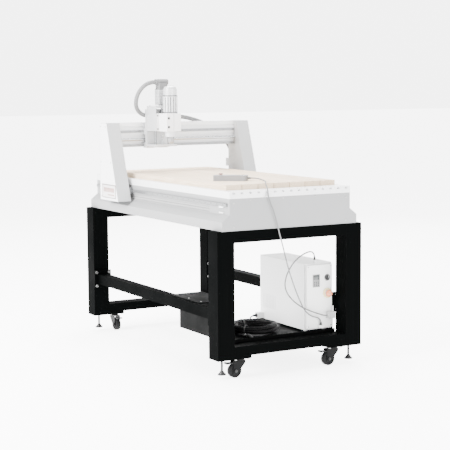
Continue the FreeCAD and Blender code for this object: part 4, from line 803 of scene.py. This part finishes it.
for x in (-0.202, -0.114):
    for z in (1.2615, 1.3675):
        turned(wipers, (x, ROD_Y, z), "Z", [(0.0084, -0.0009), (0.0125, -0.0009), (0.0132, 0.0), (0.0125, 0.0009),
                                            (0.0084, 0.0009), (0.0084, -0.0009)], steps=28)
fit("rod_wipers", wipers, ferrule, "z_slide")


# ---- Spindle
# A fluted aluminium case with a domed cap, a dark nose ring and a steel
# collet nut with spanner flats.
spindle_grey = finish("spindle_case", (0.70, 0.705, 0.71), 0.30, metal=0.55, mottle=0.08, patch=14, grain=400,
                      bump=0.1, worn=0.35, worn_colour=(0.8, 0.8, 0.8))
collet_black = finish("collet_black", (0.10, 0.10, 0.105), 0.3, metal=0.9, mottle=0.12, patch=30, grain=600, bump=0.1,
                      worn=0.4, worn_colour=(0.45, 0.45, 0.45))
dress(spindle_grey, "spindle_body")
nut_steel = finish("nut_steel", (0.36, 0.36, 0.365), 0.28, metal=0.85, mottle=0.1, patch=30, grain=600, bump=0.1,
                   worn=0.4, worn_colour=(0.6, 0.6, 0.6))
dress(nut_steel, "collet_nut")
bands = bmesh.new()
for z in (1.374, 1.4705):
    turned(bands, (HEAD_X, SPINDLE_Y, z), "Z", [(0.0428, -0.003), (0.0438, -0.0025), (0.0438, 0.0025),
                                                (0.0428, 0.003)], steps=64)
turned(bands, (HEAD_X, SPINDLE_Y, 1.528), "Z", [(0.0, 0.0024), (0.009, 0.0024), (0.0105, 0.0012), (0.0105, -0.001)],
       steps=32)
for count in range(6):
    angle = 2 * math.pi * count / 6
    peg(bands, (HEAD_X + 0.0195 * math.cos(angle), SPINDLE_Y + 0.0195 * math.sin(angle), 1.5285), "Z", 0.0024, 0.0022,
        sides=12)
fit("spindle_bands", bands, collet_black, "z_slide")
# Dark strips on the floors of the flutes: painted shade in the grooves between the fins.
flute_shade = bmesh.new()
for count in range(16):
    angle = 2 * math.pi * count / 16
    turn = Matrix.Translation((HEAD_X, SPINDLE_Y, 0)) @ Matrix.Rotation(angle, 4, "Z")
    block(flute_shade, (0.0388, -0.0028, 1.3776), (0.0399, 0.0028, 1.4632), 0.0003, turn=turn)
fit("painted_flute_shade", flute_shade, collet_black, "z_slide")
flats = bmesh.new()
for count in range(12):
    angle = 2 * math.pi * count / 12
    turn = Matrix.Translation((HEAD_X, SPINDLE_Y, 0)) @ Matrix.Rotation(angle, 4, "Z")
    block(flats, (0.0200, -0.0022, 1.2030), (0.0218, 0.0022, 1.2400), 0.0005, turn=turn)
turned(flats, (HEAD_X, SPINDLE_Y, 1.2010), "Z", [(0.0205, -0.0008), (0.0214, 0.0), (0.0205, 0.0008)], steps=40)
fit("collet_grip", flats, nut_steel, "spindle")


# ---- Controller
# A floor cabinet of white folded steel with a rounded front door; on it are a
# display with keys, a selector, a stop button and the cords' sockets.
cabinet_white = finish("cabinet_coat", (0.90, 0.90, 0.90), 0.38, mottle=0.03, patch=4, grain=800, bump=0.2,
                       worn=0.2, worn_colour=(0.9, 0.9, 0.9), edge=0.002)
panel_pale = finish("panel_coat", (0.86, 0.86, 0.855), 0.40, mottle=0.03, patch=6, grain=800, bump=0.2, worn=0.2,
                    worn_colour=(0.85, 0.85, 0.85))
dress(cabinet_white, "controller_cabinet")
dress(panel_pale, "controller_panel")
trim = bmesh.new()
for step in range(9):
    block(trim, (0.1574, -0.420 + step * 0.016, 0.260), (0.1586, -0.413 + step * 0.016, 0.340), 0.0004)
fit("cabinet_louvres", trim, finish("louvre_grey", (0.74, 0.74, 0.74), 0.5, mottle=0.08), "stand")
screws = bmesh.new()
for x in (0.175, 0.321):
    for z in (0.210, 0.539):
        turned(screws, (x, -0.7372, z), "Y", [(0.0, -0.0016), (0.0020, -0.0015), (0.0036, 0.0), (0.0036, 0.0008)],
               steps=16)
fit("panel_screws", screws, zinc, "stand")
glass = bmesh.new()
block(glass, (0.205, -0.7412, 0.468), (0.243, -0.7398, 0.493), 0.0005)
for row in range(3):
    for column in range(3):
        x, z = 0.2085 + column * 0.0125, 0.4545 - row * 0.0095
        block(glass, (x, -0.7416, z - 0.003), (x + 0.0065, -0.7398, z + 0.003), 0.0008)
fit("panel_display", glass, finish("display_dark", (0.05, 0.055, 0.055), 0.2, mottle=0.15, patch=60, coat=0.4),
    "stand")
frame_plate = bmesh.new()
block(frame_plate, (0.2010, -0.7402, 0.4270), (0.2470, -0.7396, 0.4970), 0.0002)
fit("display_bezel", frame_plate, finish("bezel_grey", (0.20, 0.20, 0.20), 0.4, mottle=0.08), "stand")

knob_black = finish("knob_black", (0.025, 0.025, 0.026), 0.4, mottle=0.15, patch=30, grain=1500, bump=0.2)
dress(knob_black, "selector_knob")
dial = bmesh.new()
turned(dial, (0.296, -0.7374, 0.476), "Y", [(0.0150, 0.0002), (0.0150, -0.0014), (0.0165, -0.0018), (0.0185, -0.0014),
                                            (0.0190, 0.0002)], steps=36)
fit("selector_ring", dial, rail_steel, "stand")
mark = bmesh.new()
block(mark, (0.2952, -0.7539, 0.4775), (0.2968, -0.7531, 0.4885), 0.0002)
fit("selector_mark", mark, bpy.data.materials["switch_white"], "selector")
stop_red = finish("stop_red", (0.66, 0.20, 0.09), 0.28, mottle=0.05, patch=30, grain=1500, bump=0.1, coat=0.3)
dress(stop_red, "estop_button")
dress(finish("faded_stop", (0.38, 0.22, 0.19), 0.35, mottle=0.06, patch=30, grain=1500, bump=0.1),
      "pendant_stop_button")
collar = bmesh.new()
turned(collar, (0.296, -0.7473, 0.390), "Y", [(0.0205, 0.0002), (0.0205, -0.0010), (0.0258, -0.0010), (0.0268, 0.0),
                                              (0.0268, 0.0095), (0.0260, 0.0102)], steps=48)
fit("stop_collar", collar, finish("collar_yellow", (0.78, 0.66, 0.34), 0.4, mottle=0.04, patch=30), "stand")
arrows = bmesh.new()
for count in range(3):
    turn = Matrix.Translation((0.296, -0.7680, 0.390)) @ Matrix.Rotation(2 * math.pi * count / 3, 4, "Y")
    block(arrows, (-0.0035, -0.0001, 0.0075), (0.0035, 0.0006, 0.0092), 0.0001, turn=turn)
fit("stop_arrows", arrows, bpy.data.materials["switch_white"], "stop_button")
sockets = bmesh.new()
turned(sockets, (0.249, -0.747, 0.2165), "Z", [(0.0035, -0.001), (0.0080, -0.001), (0.0080, 0.004), (0.0060, 0.008),
                                               (0.0040, 0.018), (0.0035, 0.018), (0.0035, -0.001)], steps=20)
turned(sockets, (0.235, -0.705, 0.574), "Z", [(0.0039, -0.001), (0.0070, -0.001), (0.0058, 0.010), (0.0044, 0.020),
                                              (0.0039, 0.020), (0.0039, -0.001)], steps=20)
turned(sockets, (0.117, -0.279, 0.212), "X", [(0.0044, 0.001), (0.0110, 0.001), (0.0105, -0.006), (0.0070, -0.010),
                                              (0.0050, -0.026), (0.0044, -0.026), (0.0044, 0.001)], steps=24)
fit("cord_reliefs", sockets, plug_black, "stand")
grips = bmesh.new()
for step in range(6):
    block(grips, (0.2885 + step * 0.005, -0.7738, 0.2515), (0.2905 + step * 0.005, -0.7404, 0.2885), 0.0006)
fit("loop_plug_grip", grips, plug_pale, "stand")
grips = bmesh.new()
for step in range(5):
    turned(grips, (-0.178, -0.685 - step * 0.006, 0.190), "Y", [(0.0098, -0.0012), (0.0106, 0.0), (0.0098, 0.0012)],
           steps=24)
fit("coil_plug_grip", grips, plug_black, "stand")


# ---- Hand pendant
# A grey moulded handset lying on the boards, with a display, rubber keys and
# a red stop button.
pendant_grey = finish("pendant_case", (0.21, 0.21, 0.213), 0.45, mottle=0.15, patch=20, grain=1600, bump=0.35,
                       worn=0.35, worn_colour=(0.32, 0.32, 0.32), shine=0.3)
dress(pendant_grey, "pendant_housing")
laid = Matrix.Translation((-0.160, -0.475, 1.012)) @ Matrix.Rotation(math.radians(-38), 4, "Z")
glass = bmesh.new()
block(glass, (0.032, -0.026, 0.0297), (0.080, 0.026, 0.0308), 0.0006, turn=laid)
fit("pendant_display", glass, bpy.data.materials["display_dark"], "stand")
keys = bmesh.new()
for row in range(4):
    for column in range(4):
        x, y = -0.030 + row * 0.0145, -0.0245 + column * 0.0135
        block(keys, (x, y, 0.0292), (x + 0.0095, y + 0.0085, 0.0316), 0.0014, turn=laid)
fit("pendant_keys", keys, finish("key_grey", (0.36, 0.36, 0.365), 0.5, mottle=0.1, patch=60), "stand")
trim = bmesh.new()
for x in (-0.0860, 0.0855):
    block(trim, (x - 0.0012, -0.0386, 0.004), (x + 0.0012, 0.0386, 0.0303), 0.0008, turn=laid)
turned(trim, laid @ Vector((-0.055, 0, 0.0300)), "Z", [(0.0125, 0.0), (0.0130, 0.0016), (0.0150, 0.0016),
                                                       (0.0160, 0.0)], steps=32)
fit("pendant_trim", trim, finish("trim_grey", (0.26, 0.26, 0.265), 0.4, mottle=0.1, patch=40), "stand")
boot = bmesh.new()
axis_turn = laid @ Matrix.Translation((0.093, 0, 0.015)) @ ALONG["X"]
for step in range(5):
    bmesh.ops.create_cone(boot, cap_ends=True, segments=20, radius1=0.0074 - step * 0.0007,
                          radius2=0.0066 - step * 0.0007, depth=0.0032,
                          matrix=axis_turn @ Matrix.Translation((0, 0, 0.0030 + step * 0.0042)))
fit("pendant_boot_rings", boot, pendant_grey, "stand")
